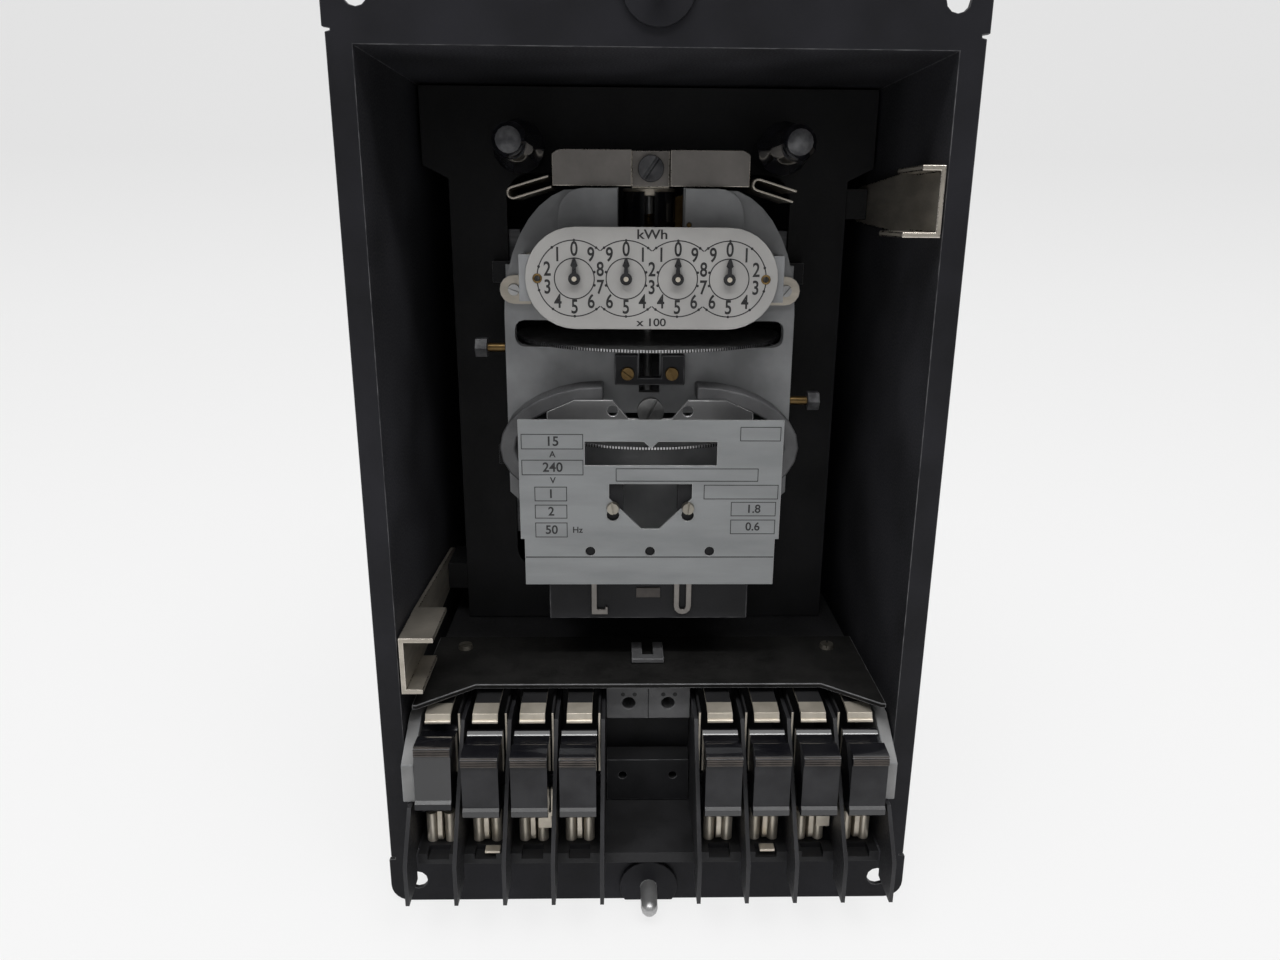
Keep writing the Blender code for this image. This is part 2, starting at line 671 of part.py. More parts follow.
def make_cover_stud(name, side):
    reach = OPENING_HALF_HEIGHT + FLANGE_HEIGHT - STUD_PAD_EDGE - STUD_Z
    sweep = math.degrees(math.asin(reach / STUD_PAD_RADIUS))
    front = -SHEET - FIT_GAP - STUD_PAD_THICKNESS
    outline = arc((0, -STUD_Z), STUD_PAD_RADIUS, -sweep, 180 + sweep, 16)
    outline = [(u, -side * v) for u, v in outline]
    pad = mesh_object(name, front_plate("pad", [outline], front, STUD_PAD_THICKNESS), STEEL)
    dome = arc((0, STUD_LENGTH - STUD_RADIUS), STUD_RADIUS, 70, 0, 3)
    profile = [(0, STUD_LENGTH)] + dome + [(STUD_RADIUS, 0), (0, 0)]
    place = Matrix.Translation((0, front + STUD_PAD_THICKNESS / 2, side * STUD_Z))
    turn = Matrix.Rotation(math.pi / 2, 4, "X")
    boolean(pad, turned("stud", profile, place @ turn, SMALL_SIDES), "UNION")


def make_terminals():
    """Moulded block with its studs and nuts cast in."""
    front = CASE_DEPTH + SHEET + FIT_GAP
    rear = front + TERMINAL_BLOCK_THICKNESS
    half = (TERMINAL_COLUMNS - 1) / 2 * TERMINAL_PITCH + TERMINAL_BLOCK_MARGIN
    bm = bmesh.new()
    block(bm, (-half, front, min(TERMINAL_ROWS) - TERMINAL_BLOCK_MARGIN),
          (half, rear, max(TERMINAL_ROWS) + TERMINAL_BLOCK_MARGIN))
    body = mesh_object("terminal_block", bm, BAKELITE)
    end = rear + 2 * NUT_HEIGHT
    studs = bmesh.new()
    nuts = bmesh.new()
    for x, z in terminal_places():
        rod(studs, (x, end - TERMINAL_LENGTH, z), (x, end, z), TERMINAL_RADIUS)
        rod(nuts, (x, rear - FIT_GAP, z), (x, rear + NUT_HEIGHT, z), NUT_RADIUS, 6)
    boolean(body, studs, "UNION")
    boolean(body, nuts, "UNION")


# Chassis, pillars, clips and latches

CHASSIS_BOTTOM = SHELF_Z
SPACER_Z = CHASSIS_BOTTOM + 10 * MM
PILLAR_TAIL_RADIUS = PILLAR_RADIUS - 1.3 * MM
CHASSIS_REAR = CHASSIS_FRONT + CHASSIS_SHEET
LATCH_OUTER_X = OPENING_HALF_WIDTH - LATCH_WALL_GAP
LATCH_INNER_X = LATCH_OUTER_X - LATCH_SHEET


def make_chassis():
    """Plate with the two latch brackets and the two spacers that stand on the back of the case."""
    step = CHASSIS_WIDE - CHASSIS_NARROW
    right = [(CHASSIS_NARROW, CHASSIS_BOTTOM), (CHASSIS_NARROW, CHASSIS_SHOULDER - step / 2),
             (CHASSIS_WIDE, CHASSIS_SHOULDER), (CHASSIS_WIDE, CHASSIS_TOP)]
    window = rounded_box((-CHASSIS_WINDOW_HALF_WIDTH, CHASSIS_WINDOW_BOTTOM),
                         (CHASSIS_WINDOW_HALF_WIDTH, CHASSIS_WINDOW_TOP), FRAME_CORNER)
    bores = [circle((x, PILLAR_Z), PILLAR_TAIL_RADIUS + FIT_GAP) for x in (-PILLAR_X, PILLAR_X)]
    body = front_plate("body", [mirrored(right), window] + bores, CHASSIS_FRONT, CHASSIS_SHEET)
    chassis = mesh_object("chassis_frame", body, BLACK_PAINT)
    inside = CHASSIS_REAR - CHASSIS_SHEET / 2
    feet = bmesh.new()
    pins = bmesh.new()
    rear = LATCH_PIVOT_Y + LATCH_BRACKET_HALF
    for side, z in ((1, LATCH_UPPER_Z), (-1, LATCH_LOWER_Z)):
        face = side * (LATCH_INNER_X - FIT_GAP)
        root = side * (CHASSIS_NARROW - LATCH_BRACKET_HALF)
        block(feet, (min(face, root), inside, z - LATCH_BRACKET_HALF),
              (max(face, root), rear, z + LATCH_BRACKET_HALF))
        rod(pins, (side * (LATCH_INNER_X - LATCH_BRACKET_HALF), LATCH_PIVOT_Y, z),
            (side * (LATCH_OUTER_X + FIT_GAP), LATCH_PIVOT_Y, z), LATCH_PIN_RADIUS)
        x = side * CHASSIS_SPACER_X
        rod(feet, (x, inside, SPACER_Z), (x, CASE_DEPTH - FIT_GAP, SPACER_Z), CHASSIS_SPACER_RADIUS)
    boolean(chassis, feet, "UNION")
    boolean(chassis, pins, "UNION")


def make_pillar(name, side):
    rear = CASE_DEPTH - FIT_GAP
    shoulder = CHASSIS_FRONT - FIT_GAP
    collar = PILLAR_TIP + PILLAR_STRAIGHT
    dome = arc((0, -PILLAR_TIP - PILLAR_RADIUS), PILLAR_RADIUS, 70, 0, 3)
    profile = [(0, -PILLAR_TIP)] + dome
    profile += [(PILLAR_RADIUS, -collar), (PILLAR_COLLAR_RADIUS, -collar - PILLAR_RADIUS),
                (PILLAR_NECK_RADIUS, -collar - 2 * PILLAR_RADIUS), (PILLAR_NECK_RADIUS, -shoulder),
                (PILLAR_TAIL_RADIUS, -shoulder), (PILLAR_TAIL_RADIUS, -rear), (0, -rear)]
    place = Matrix.Translation((side * PILLAR_X, 0, PILLAR_Z)) @ Matrix.Rotation(math.pi / 2, 4, "X")
    mesh_object(name, turned("pillar", profile, place, PILLAR_SIDES), BAKELITE)


def hairpin(start, end):
    """Folded strip seen on edge: closed and round at start, open at end."""
    along = Vector((end[0] - start[0], end[1] - start[1]))
    length = along.length
    inner = CLIP_GAP / 2
    outer = inner + CLIP_WIRE
    points = [(length, outer)] + arc((outer, 0), outer, 90, 270) + [(length, -outer), (length, -inner)]
    points += arc((outer, 0), inner, 270, 90) + [(length, inner)]
    turn = Matrix.Rotation(math.atan2(along.y, along.x), 2)
    return [tuple(turn @ Vector(point) + Vector(start)) for point in points]


def make_clips():
    front = CHASSIS_FRONT - FIT_GAP - CLIP_DEPTH
    z = PILLAR_Z - PILLAR_COLLAR_RADIUS - CLIP_RISE / 2
    outer_x = PILLAR_X + CLIP_RISE
    left = hairpin((-outer_x, z - CLIP_RISE), (CLIP_LENGTH - outer_x, z))
    right = hairpin((outer_x - CLIP_LENGTH, z), (outer_x, z - CLIP_RISE))
    mesh_object("spring_clip_left", front_plate("left", [left], front, CLIP_DEPTH), NICKEL)
    mesh_object("spring_clip_right", front_plate("right", [right], front, CLIP_DEPTH), NICKEL)


def make_latch_arm(name, side, z):
    """Arm for the right wall; the left one is the same arm turned half round about the Y axis."""
    half = LATCH_HEIGHT / 2
    grip_end = LATCH_FRONT + LATCH_GRIP_LENGTH
    tail = LATCH_PIVOT_Y
    outline = [(LATCH_FRONT, -half), (grip_end, -half), (tail, -LATCH_TAIL_HALF_HEIGHT)]
    outline += arc((tail, 0), LATCH_TAIL_HALF_HEIGHT, -60, 60)
    outline += [(tail, LATCH_TAIL_HALF_HEIGHT), (grip_end, half), (LATCH_FRONT, half)]
    bore = circle((tail, 0), LATCH_PIN_RADIUS + RUN_GAP, SMALL_SIDES)
    web = side_plate("web", [outline, bore], LATCH_INNER_X, LATCH_SHEET)
    grips = bmesh.new()
    block(grips, (LATCH_OUTER_X - LATCH_WIDE_FLANGE, LATCH_FRONT, -half),
          (LATCH_OUTER_X - LATCH_SHEET / 4, grip_end, LATCH_SHEET - half))
    block(grips, (LATCH_OUTER_X - LATCH_NARROW_FLANGE, LATCH_FRONT, half - LATCH_SHEET),
          (LATCH_OUTER_X - LATCH_SHEET / 4, grip_end, half))
    place = Matrix.Translation((0, 0, z))
    if side < 0:
        place = place @ Matrix.Rotation(math.pi, 4, "Y")
    web.transform(place)
    grips.transform(place)
    arm = mesh_object(name, web, NICKEL)
    boolean(arm, grips, "UNION")
    pivot = Vector((side * (LATCH_INNER_X + LATCH_SHEET / 2), LATCH_PIVOT_Y, z))
    set_origin(arm, pivot)


# Rotor

def make_rotor():
    lower_seat = LOWER_DISC_Z - DISC_THICKNESS / 2 - FIT_GAP
    upper_seat = UPPER_DISC_Z - DISC_THICKNESS / 2 - FIT_GAP
    profile = [(0, SHAFT_TOP), (SHAFT_RADIUS, SHAFT_TOP)]
    for seat in (upper_seat, lower_seat):
        profile += [(SHAFT_RADIUS, seat), (HUB_RADIUS, seat), (HUB_RADIUS, seat - HUB_HEIGHT),
                    (SHAFT_RADIUS, seat - HUB_HEIGHT)]
    profile += [(SHAFT_RADIUS, SHAFT_BOTTOM), (0, SHAFT_BOTTOM)]
    axis = Matrix.Translation((0, SHAFT_Y, 0))
    shaft = mesh_object("rotor_shaft", turned("shaft", profile, axis, SMALL_SIDES), STEEL)
    thread = []
    per_turn = 12
    bottom = WORM_Z - WORM_TURNS * WORM_PITCH / 2
    for i in range(WORM_TURNS * per_turn + 1):
        angle = 2 * math.pi * i / per_turn
        radius = SHAFT_RADIUS + WORM_WIRE / 3
        thread.append((radius * math.cos(angle), SHAFT_Y + radius * math.sin(angle),
                       bottom + WORM_PITCH * i / per_turn))
    boolean(shaft, wire("thread", thread, WORM_WIRE), "UNION")
    set_origin(shaft, (0, SHAFT_Y, 0))
    for name, z in (("upper_disc", UPPER_DISC_Z), ("lower_disc", LOWER_DISC_Z)):
        loops = [circle((0, SHAFT_Y), DISC_RADIUS, 72), circle((0, SHAFT_Y), SHAFT_RADIUS + RUN_GAP, 12)]
        disc = mesh_object(name, plan_plate(name, loops, z - DISC_THICKNESS / 2, DISC_THICKNESS), ALUMINIUM)
        set_origin(disc, (0, SHAFT_Y, z))


# Die-cast frame and bearings

WORM_THREAD_RADIUS = SHAFT_RADIUS + WORM_WIRE * 4 / 3
WORM_WHEEL_X = WORM_THREAD_RADIUS + RUN_GAP + WORM_WHEEL_RADIUS
FRAME_REAR = FRAME_FRONT + FRAME_THICKNESS
BOSS_FRONT = FRAME_FRONT - BOSS_STEP


def frame_outline():
    reach = FRAME_HALF_WIDTH - FRAME_SHOULDER_X
    rise = FRAME_TOP - FRAME_SHOULDER_Z
    right = arc((FRAME_FOOT_HALF - FRAME_CORNER, FRAME_BOTTOM + FRAME_CORNER), FRAME_CORNER, -90, 0)
    right += [(FRAME_FOOT_HALF, FRAME_WAIST_Z - FRAME_FOOT_INSET), (FRAME_HALF_WIDTH, FRAME_WAIST_Z)]
    for u, v in arc((0, 0), 1.0, 0, 78, 8):
        right.append((FRAME_SHOULDER_X + reach * u, FRAME_SHOULDER_Z + rise * v))
    right += [(NOTCH_HALF_WIDTH, FRAME_TOP), (NOTCH_HALF_WIDTH, NOTCH_BOTTOM)]
    return mirrored(right)


def disc_window(z, slot_depth):
    """Rounded slit for a disc, with a slot below it where the shaft shows."""
    low = z - WINDOW_BELOW
    high = low + WINDOW_HEIGHT
    x = WINDOW_HALF_WIDTH - WINDOW_CORNER
    right = [(SHAFT_SLOT_HALF, low - slot_depth), (SHAFT_SLOT_HALF, low)]
    right += arc((x, low + WINDOW_CORNER), WINDOW_CORNER, -90, 0, 3)
    right += arc((x, high - WINDOW_CORNER), WINDOW_CORNER, 0, 90, 3)
    return mirrored(right)


def make_meter_frame():
    loops = [frame_outline(), disc_window(UPPER_DISC_Z, SHAFT_SLOT_DEPTH),
             disc_window(LOWER_DISC_Z, WINDOW_BELOW)]
    body = front_plate("frame", loops, FRAME_FRONT, FRAME_THICKNESS)
    frame = mesh_object("meter_frame", body, GREY_CASTING)
    boss_inner = NOTCH_HALF_WIDTH + FIT_GAP
    boss_top = FRAME_TOP - FIT_GAP
    boss = [(boss_inner, BOSS_BOTTOM), (BOSS_HALF_WIDTH, BOSS_BOTTOM)]
    boss += arc((BOSS_HALF_WIDTH - FRAME_CORNER, boss_top - FRAME_CORNER), FRAME_CORNER, 0, 90)
    boss += [(boss_inner, boss_top)]
    seat = CHASSIS_FRONT - FIT_GAP
    root = FRAME_REAR - FRAME_THICKNESS / 2
    leg = [(LEG_INNER_X, root), (LEG_OUTER_X, root), (LEG_OUTER_X, seat - FOOT_HEIGHT),
           (FOOT_OUTER_X, seat - FOOT_HEIGHT), (FOOT_OUTER_X, seat), (LEG_INNER_X, seat)]
    extras = bmesh.new()
    for side in (-1, 1):
        outline = [(side * u, v) for u, v in boss]
        add_bm(extras, front_plate("boss", [outline], BOSS_FRONT, root - BOSS_FRONT))
        outline = [(side * u, v) for u, v in leg]
        for z in (LEG_LOWER_Z, LEG_UPPER_Z):
            add_bm(extras, plan_plate("leg", [outline], z - LEG_HALF, 2 * LEG_HALF))
    boolean(frame, extras, "UNION")
    bores = bmesh.new()
    for x, z in ((WORM_WHEEL_X, WORM_Z), (IDLER_X, IDLER_Z)):
        rod(bores, (x, BOSS_FRONT - FIT_GAP, z), (x, FRAME_REAR + FIT_GAP, z), ARBOR_RADIUS + RUN_GAP)
    boolean(frame, bores, "DIFFERENCE")


def slot_cutter(x, front, z, radius, turn_deg):
    """Thin bar across a screw head whose front face is at the given depth."""
    bm = bmesh.new()
    block(bm, (-radius * 1.2, -SLOT_DEPTH, -SLOT_WIDTH / 2), (radius * 1.2, SLOT_DEPTH, SLOT_WIDTH / 2))
    bm.transform(Matrix.Translation((x, front, z)) @ Matrix.Rotation(math.radians(turn_deg), 4, "Y"))
    return bm


def slotted_screw(name, place, front, radius, turn_deg):
    """Round slotted head facing forward."""
    x, z = place
    head = bmesh.new()
    rod(head, (x, front, z), (x, front + BEARING_HEAD_HEIGHT, z), radius, ROUND_SIDES)
    boolean(mesh_object(name, head, STEEL), slot_cutter(x, front, z, radius, turn_deg), "DIFFERENCE")


def make_upper_bearing():
    y = STRIP_FRONT
    deep = y + RECESS_DEPTH
    t = STRIP_SHEET
    right = [(RECESS_HALF_WIDTH, deep), (RECESS_HALF_WIDTH, y), (STRIP_HALF_WIDTH, y),
             (STRIP_HALF_WIDTH, y + t), (RECESS_HALF_WIDTH + t, y + t), (RECESS_HALF_WIDTH + t, deep + t)]
    height = STRIP_TOP - STRIP_BOTTOM
    body = plan_plate("strip", [mirrored(right)], STRIP_BOTTOM, height)
    strip = mesh_object("upper_bearing_bracket", body, NICKEL)
    edge = STRIP_HALF_WIDTH - STRIP_CORNER
    trim = [(STRIP_HALF_WIDTH + t, STRIP_BOTTOM - t)]
    trim += arc((edge + t, STRIP_TOP - STRIP_CORNER), STRIP_CORNER, 0, 80)
    boolean(strip, front_plate("trim", [mirrored(trim)], y - t, RECESS_DEPTH + 4 * t), "INTERSECT")
    slotted_screw("upper_bearing_screw", (0, BEARING_HEAD_Z), deep - FIT_GAP - BEARING_HEAD_HEIGHT,
                  BEARING_HEAD_RADIUS, BEARING_SLOT_TURN)
    bm = bmesh.new()
    top = STRIP_BOTTOM
    low = top - COLLAR_HEIGHT
    rod(bm, (0, SHAFT_Y, low), (0, SHAFT_Y, top), COLLAR_RADIUS, ROUND_SIDES)
    collar = mesh_object("upper_bearing_collar", bm, STEEL)
    arm = bmesh.new()
    block(arm, (-RECESS_HALF_WIDTH, deep + t + FIT_GAP, top - FIT_GAP),
          (RECESS_HALF_WIDTH, SHAFT_Y - HUB_RADIUS, top + 2 * COLLAR_HEIGHT))
    inner = SHIELD_RADIUS - SHIELD_SHEET
    for side in (-1, 1):
        start, end = -90 + side * SHIELD_SLOT_DEG, -90 + side * SHIELD_WRAP_DEG
        band = arc((0, SHAFT_Y), SHIELD_RADIUS, start, end) + arc((0, SHAFT_Y), inner, end, start)
        add_bm(arm, plan_plate("shield", [band], low - SHIELD_HEIGHT, SHIELD_HEIGHT + COLLAR_HEIGHT / 2))
    boolean(collar, arm, "UNION")
    bore = bmesh.new()
    rod(bore, (0, SHAFT_Y, low - t), (0, SHAFT_Y, STRIP_TOP), SHAFT_RADIUS + RUN_GAP)
    boolean(collar, bore, "DIFFERENCE")


def make_lower_bearing():
    bm = bmesh.new()
    top = SHAFT_BOTTOM - RUN_GAP
    rod(bm, (0, SHAFT_Y, top - 3 * HUB_RADIUS), (0, SHAFT_Y, top), HUB_RADIUS)
    screw = mesh_object("lower_bearing_screw", bm, STEEL)
    arm = bmesh.new()
    block(arm, (FIT_GAP - HUB_RADIUS, FRAME_REAR + FIT_GAP, top - 2.5 * HUB_RADIUS),
          (HUB_RADIUS - FIT_GAP, SHAFT_Y, top - HUB_RADIUS))
    boolean(screw, arm, "UNION")


# Electromagnets behind the discs

def make_elements():
    """Three core legs on a rear yoke that clears the discs, with a coil behind two of the legs."""
    front = CHASSIS_REAR + FIT_GAP
    seat = front + CORE_DEPTH
    yoke_front = SHAFT_Y + DISC_RADIUS + FIT_GAP
    rear = yoke_front + YOKE_DEPTH
    inner = CHASSIS_WINDOW_HALF_WIDTH - COIL_INSET
    coil_side = COIL_HALF_WIDTH + FIT_GAP
    right = [(inner, front + CORE_RECESS), (inner, front), (CORE_HALF_WIDTH, front),
             (CORE_HALF_WIDTH, rear), (coil_side, rear), (coil_side, seat)]
    legs = bmesh.new()
    for low, high in CORE_LAYERS:
        add_bm(legs, plan_plate("leg", [mirrored(right)], low, high - low))
    core = mesh_object("element_core", legs, STEEL)
    yoke = bmesh.new()
    bottom = min(low for low, high in CORE_LAYERS)
    top = max(high for low, high in CORE_LAYERS)
    for side in (-1, 1):
        xs = sorted((side * (coil_side + COIL_INSET), side * (CORE_HALF_WIDTH - COIL_INSET)))
        block(yoke, (xs[0], yoke_front, bottom + COIL_INSET), (xs[1], rear - FIT_GAP, top - COIL_INSET))
    boolean(core, yoke, "UNION")
    for name, (low, high) in (("upper_coil", CORE_LAYERS[0]), ("lower_coil", CORE_LAYERS[-1])):
        bm = bmesh.new()
        block(bm, (-COIL_HALF_WIDTH, seat + FIT_GAP, low + COIL_INSET),
              (COIL_HALF_WIDTH, rear, high - COIL_INSET))
        mesh_object(name, bm, COIL_TAPE)


def make_magnet(name, side):
    middle = (MAGNET_TOP_Z + MAGNET_BOTTOM_Z) / 2
    rise = (MAGNET_TOP_Z - MAGNET_BOTTOM_Z) / 2
    reach = MAGNET_OUTER_X - MAGNET_INNER_X
    sweep = arc((0, 0), 1.0, -90, 90, 14)
    outline = [(MAGNET_INNER_X + reach * u, middle + rise * v) for u, v in sweep]
    reach -= MAGNET_BAR
    rise -= MAGNET_BAR
    outline += [(MAGNET_INNER_X + reach * u, middle + rise * v) for u, v in reversed(sweep)]
    outline = [(side * u, v) for u, v in outline]
    depth = FRAME_FRONT - FIT_GAP - MAGNET_FRONT
    mesh_object(name, front_plate("magnet", [outline], MAGNET_FRONT, depth), MAGNET_GREY)


def make_keeper():
    front = MAGNET_FRONT - FIT_GAP - KEEPER_SHEET
    right = [(KEEPER_HALF_WIDTH, KEEPER_BOTTOM), (KEEPER_HALF_WIDTH, KEEPER_END_Z),
             (2 * KEEPER_HOLE_X, KEEPER_TOP), (KEEPER_HOLE_X, KEEPER_TOP),
             (KEEPER_NOTCH_HALF, KEEPER_NOTCH_Z)]
    holes = [circle((x, KEEPER_HOLE_Z), KEEPER_HOLE_RADIUS, SMALL_SIDES)
             for x in (-KEEPER_HOLE_X, KEEPER_HOLE_X)]
    keeper = front_plate("keeper", [mirrored(right)] + holes, front, KEEPER_SHEET)
    mesh_object("keeper_plate", keeper, ALUMINIUM)
    slotted_screw("keeper_screw", (0, KEEPER_SCREW_Z), front - FIT_GAP - BEARING_HEAD_HEIGHT,
                  KEEPER_SCREW_RADIUS, KEEPER_SLOT_TURN)


def make_adjusters():
    front = FRAME_FRONT - FIT_GAP - ADJUSTER_DEPTH
    slot = SHAFT_SLOT_HALF + FIT_GAP
    right = [(ADJUSTER_HALF_WIDTH, ADJUSTER_BOTTOM - ADJUSTER_BRIDGE), (ADJUSTER_HALF_WIDTH, ADJUSTER_TOP),
             (slot, ADJUSTER_TOP), (slot, ADJUSTER_BOTTOM)]
    body = front_plate("adjuster", [mirrored(right)], front, ADJUSTER_DEPTH)
    mesh_object("adjuster_block", body, BAKELITE)
    y = FRAME_FRONT + FRAME_THICKNESS / 2
    start = FRAME_HALF_WIDTH + FIT_GAP
    end = start + SIDE_SCREW_LENGTH
    for name, side, z in (("side_adjuster_left", -1, SIDE_LEFT_Z), ("side_adjuster_right", 1, SIDE_RIGHT_Z)):
        screw = bmesh.new()
        rod(screw, (side * start, y, z), (side * end, y, z), SIDE_SCREW_RADIUS)
        nut = bmesh.new()
        rod(nut, (side * (end - SIDE_NUT_LENGTH), y, z), (side * (end - FIT_GAP), y, z), SIDE_NUT_RADIUS, 6)
        boolean(mesh_object(name, screw, BRASS), nut, "UNION")


# Nameplate and the block below it

def make_nameplate():
    right = [(PLATE_HALF_WIDTH - PLATE_STEP, PLATE_BOTTOM), (PLATE_HALF_WIDTH - PLATE_STEP, PLATE_STEP_Z),
             (PLATE_HALF_WIDTH, PLATE_STEP_Z), (PLATE_HALF_WIDTH, PLATE_TOP)]
    slot = [(PLATE_SLOT_HALF_WIDTH, PLATE_SLOT_BOTTOM), (PLATE_SLOT_HALF_WIDTH, PLATE_SLOT_TOP),
            (PLATE_INDEX, PLATE_SLOT_TOP)]
    slot = slot + [(0, PLATE_SLOT_TOP - PLATE_INDEX)] + [(-u, v) for u, v in reversed(slot)]
    cut = [(PLATE_CUT_HALF_BOTTOM, PLATE_CUT_BOTTOM), (PLATE_CUT_HALF_TOP, PLATE_CUT_BEND),
           (PLATE_CUT_HALF_TOP, PLATE_CUT_TOP)]
    holes = [circle((x, PLATE_HOLE_Z), PLATE_HOLE_RADIUS, SMALL_SIDES)
             for x in (-PLATE_HOLE_X, 0, PLATE_HOLE_X)]
    holes += [circle((x, PLATE_KEY_Z), PLATE_KEY_RADIUS, SMALL_SIDES) for x in (-PLATE_KEY_X, PLATE_KEY_X)]
    loops = [mirrored(right), slot, mirrored(cut)] + holes
    mesh_object("nameplate", front_plate("plate", loops, PLATE_FRONT, PLATE_THICKNESS), ALUMINIUM)
    front = PLATE_FRONT + PLATE_THICKNESS + FIT_GAP
    right = [(CARRIER_HALF_WIDTH, PLATE_BOTTOM + PLATE_STEP), (CARRIER_HALF_WIDTH, CARRIER_TOP),
             (CARRIER_SLOT_HALF, CARRIER_TOP), (CARRIER_SLOT_HALF, PLATE_CUT_BOTTOM - PLATE_STEP)]
    body = front_plate("carrier", [mirrored(right)], front, CARRIER_THICKNESS)
    carrier = mesh_object("nameplate_carrier", body, GREY_MOULDING)
    arms = bmesh.new()
    for side in (-1, 1):
        xs = sorted((side * (CARRIER_HALF_WIDTH - CARRIER_ARM), side * (CARRIER_HALF_WIDTH - FIT_GAP)))
        block(arms, (xs[0], front + CARRIER_THICKNESS / 2, CARRIER_ARM_Z - LEG_HALF),
              (xs[1], FRAME_FRONT - FIT_GAP, CARRIER_ARM_Z + LEG_HALF))
    boolean(carrier, arms, "UNION")


def make_front_block():
    bm = bmesh.new()
    block(bm, (-FRONT_BLOCK_HALF_WIDTH, FRONT_BLOCK_FRONT, FRONT_BLOCK_BOTTOM),
          (FRONT_BLOCK_HALF_WIDTH, FRAME_FRONT - FIT_GAP, FRONT_BLOCK_TOP))
    mesh_object("front_block", bm, BAKELITE)
    front = FRONT_BLOCK_FRONT - FIT_GAP - LAG_STRIP
    low = FRONT_BLOCK_BOTTOM + 2 * LAG_STRIP
    w = LAG_STRIP_WIDTH
    toe = HOOK_X + HOOK_REACH
    hook = [(HOOK_X, FRONT_BLOCK_TOP), (HOOK_X - w, FRONT_BLOCK_TOP), (HOOK_X - w, low), (toe, low),
            (toe, low + HOOK_RISE), (toe - w / 2, low + HOOK_RISE), (toe - w / 2, low + w), (HOOK_X, low + w)]
    mesh_object("lag_hook", front_plate("hook", [hook], front, LAG_STRIP), NICKEL)
    centre = (LOOP_X, low + LOOP_RADIUS)
    bore = LOOP_RADIUS - w
    loop = [(LOOP_X - LOOP_RADIUS, FRONT_BLOCK_TOP)] + arc(centre, LOOP_RADIUS, 180, 360)
    loop += [(LOOP_X + LOOP_RADIUS, FRONT_BLOCK_TOP), (LOOP_X + bore, FRONT_BLOCK_TOP)]
    loop += arc(centre, bore, 360, 180) + [(LOOP_X - bore, FRONT_BLOCK_TOP)]
    mesh_object("lag_loop", front_plate("loop", [loop], front, LAG_STRIP), NICKEL)


# Register: gear train, dial and pointers

REGISTER_FRONT = DIAL_FRONT + DIAL_THICKNESS + FIT_GAP
REGISTER_REAR = FRAME_FRONT - FIT_GAP
FIRST_GEAR_LEVEL = REGISTER_FRONT + REGISTER_PLATE + GEAR_LEVEL_STEP / 2
GEAR_LEVELS = (FIRST_GEAR_LEVEL, FIRST_GEAR_LEVEL + GEAR_LEVEL_STEP)


def dial_x(index):
    """Dials run from the highest place on the left to the units on the right."""
    return (index - (DIAL_COUNT - 1) / 2) * DIAL_PITCH


def pitch_radii(distance, driver_teeth, driven_teeth):
    share = (distance - MESH_SLACK) / (driver_teeth + driven_teeth)
    return share * driver_teeth, share * driven_teeth


def gear(centre, radius, teeth, phase_deg, front, width=GEAR_WIDTH):
    """Wheel in the dial's plane with a tooth tip at the phase angle."""
    points = []
    for i in range(2 * teeth):
        angle = math.radians(phase_deg) + math.pi * i / teeth
        reach = radius + (TOOTH_ADDENDUM if i % 2 == 0 else -TOOTH_DEDENDUM)
        points.append((centre[0] + reach * math.cos(angle), centre[1] + reach * math.sin(angle)))
    return front_plate("gear", [points], front, width)


def arbor(name, x, z, front, rear, gears, material):
    """Spindle along Y with its gears, as one piece turning about its own axis."""
    bm = bmesh.new()
    rod(bm, (x, front, z), (x, rear, z), ARBOR_RADIUS)
    spindle = mesh_object(name, bm, material)
    wheels = bmesh.new()
    for wheel in gears:
        add_bm(wheels, wheel)
    boolean(spindle, wheels, "UNION")
    set_origin(spindle, (x, SHAFT_Y, z))


def pointer(x):
    """Teardrop hand pointing up at zero."""
    front = DIAL_FRONT - POINTER_LIFT - POINTER_THICKNESS
    tip = DIAL_Z + POINTER_LENGTH
    belly = DIAL_Z + POINTER_BELLY
    hub = arc((x, DIAL_Z), POINTER_HUB_RADIUS, 110, 430, 14)
    neck = POINTER_NECK
    outline = hub + [(x + neck, belly - neck), (x + 2 * neck, belly), (x + neck / 2, tip)]
    outline += [(x - neck / 2, tip), (x - 2 * neck, belly), (x - neck, belly - neck)]
    return front_plate("pointer", [outline], front, POINTER_THICKNESS)


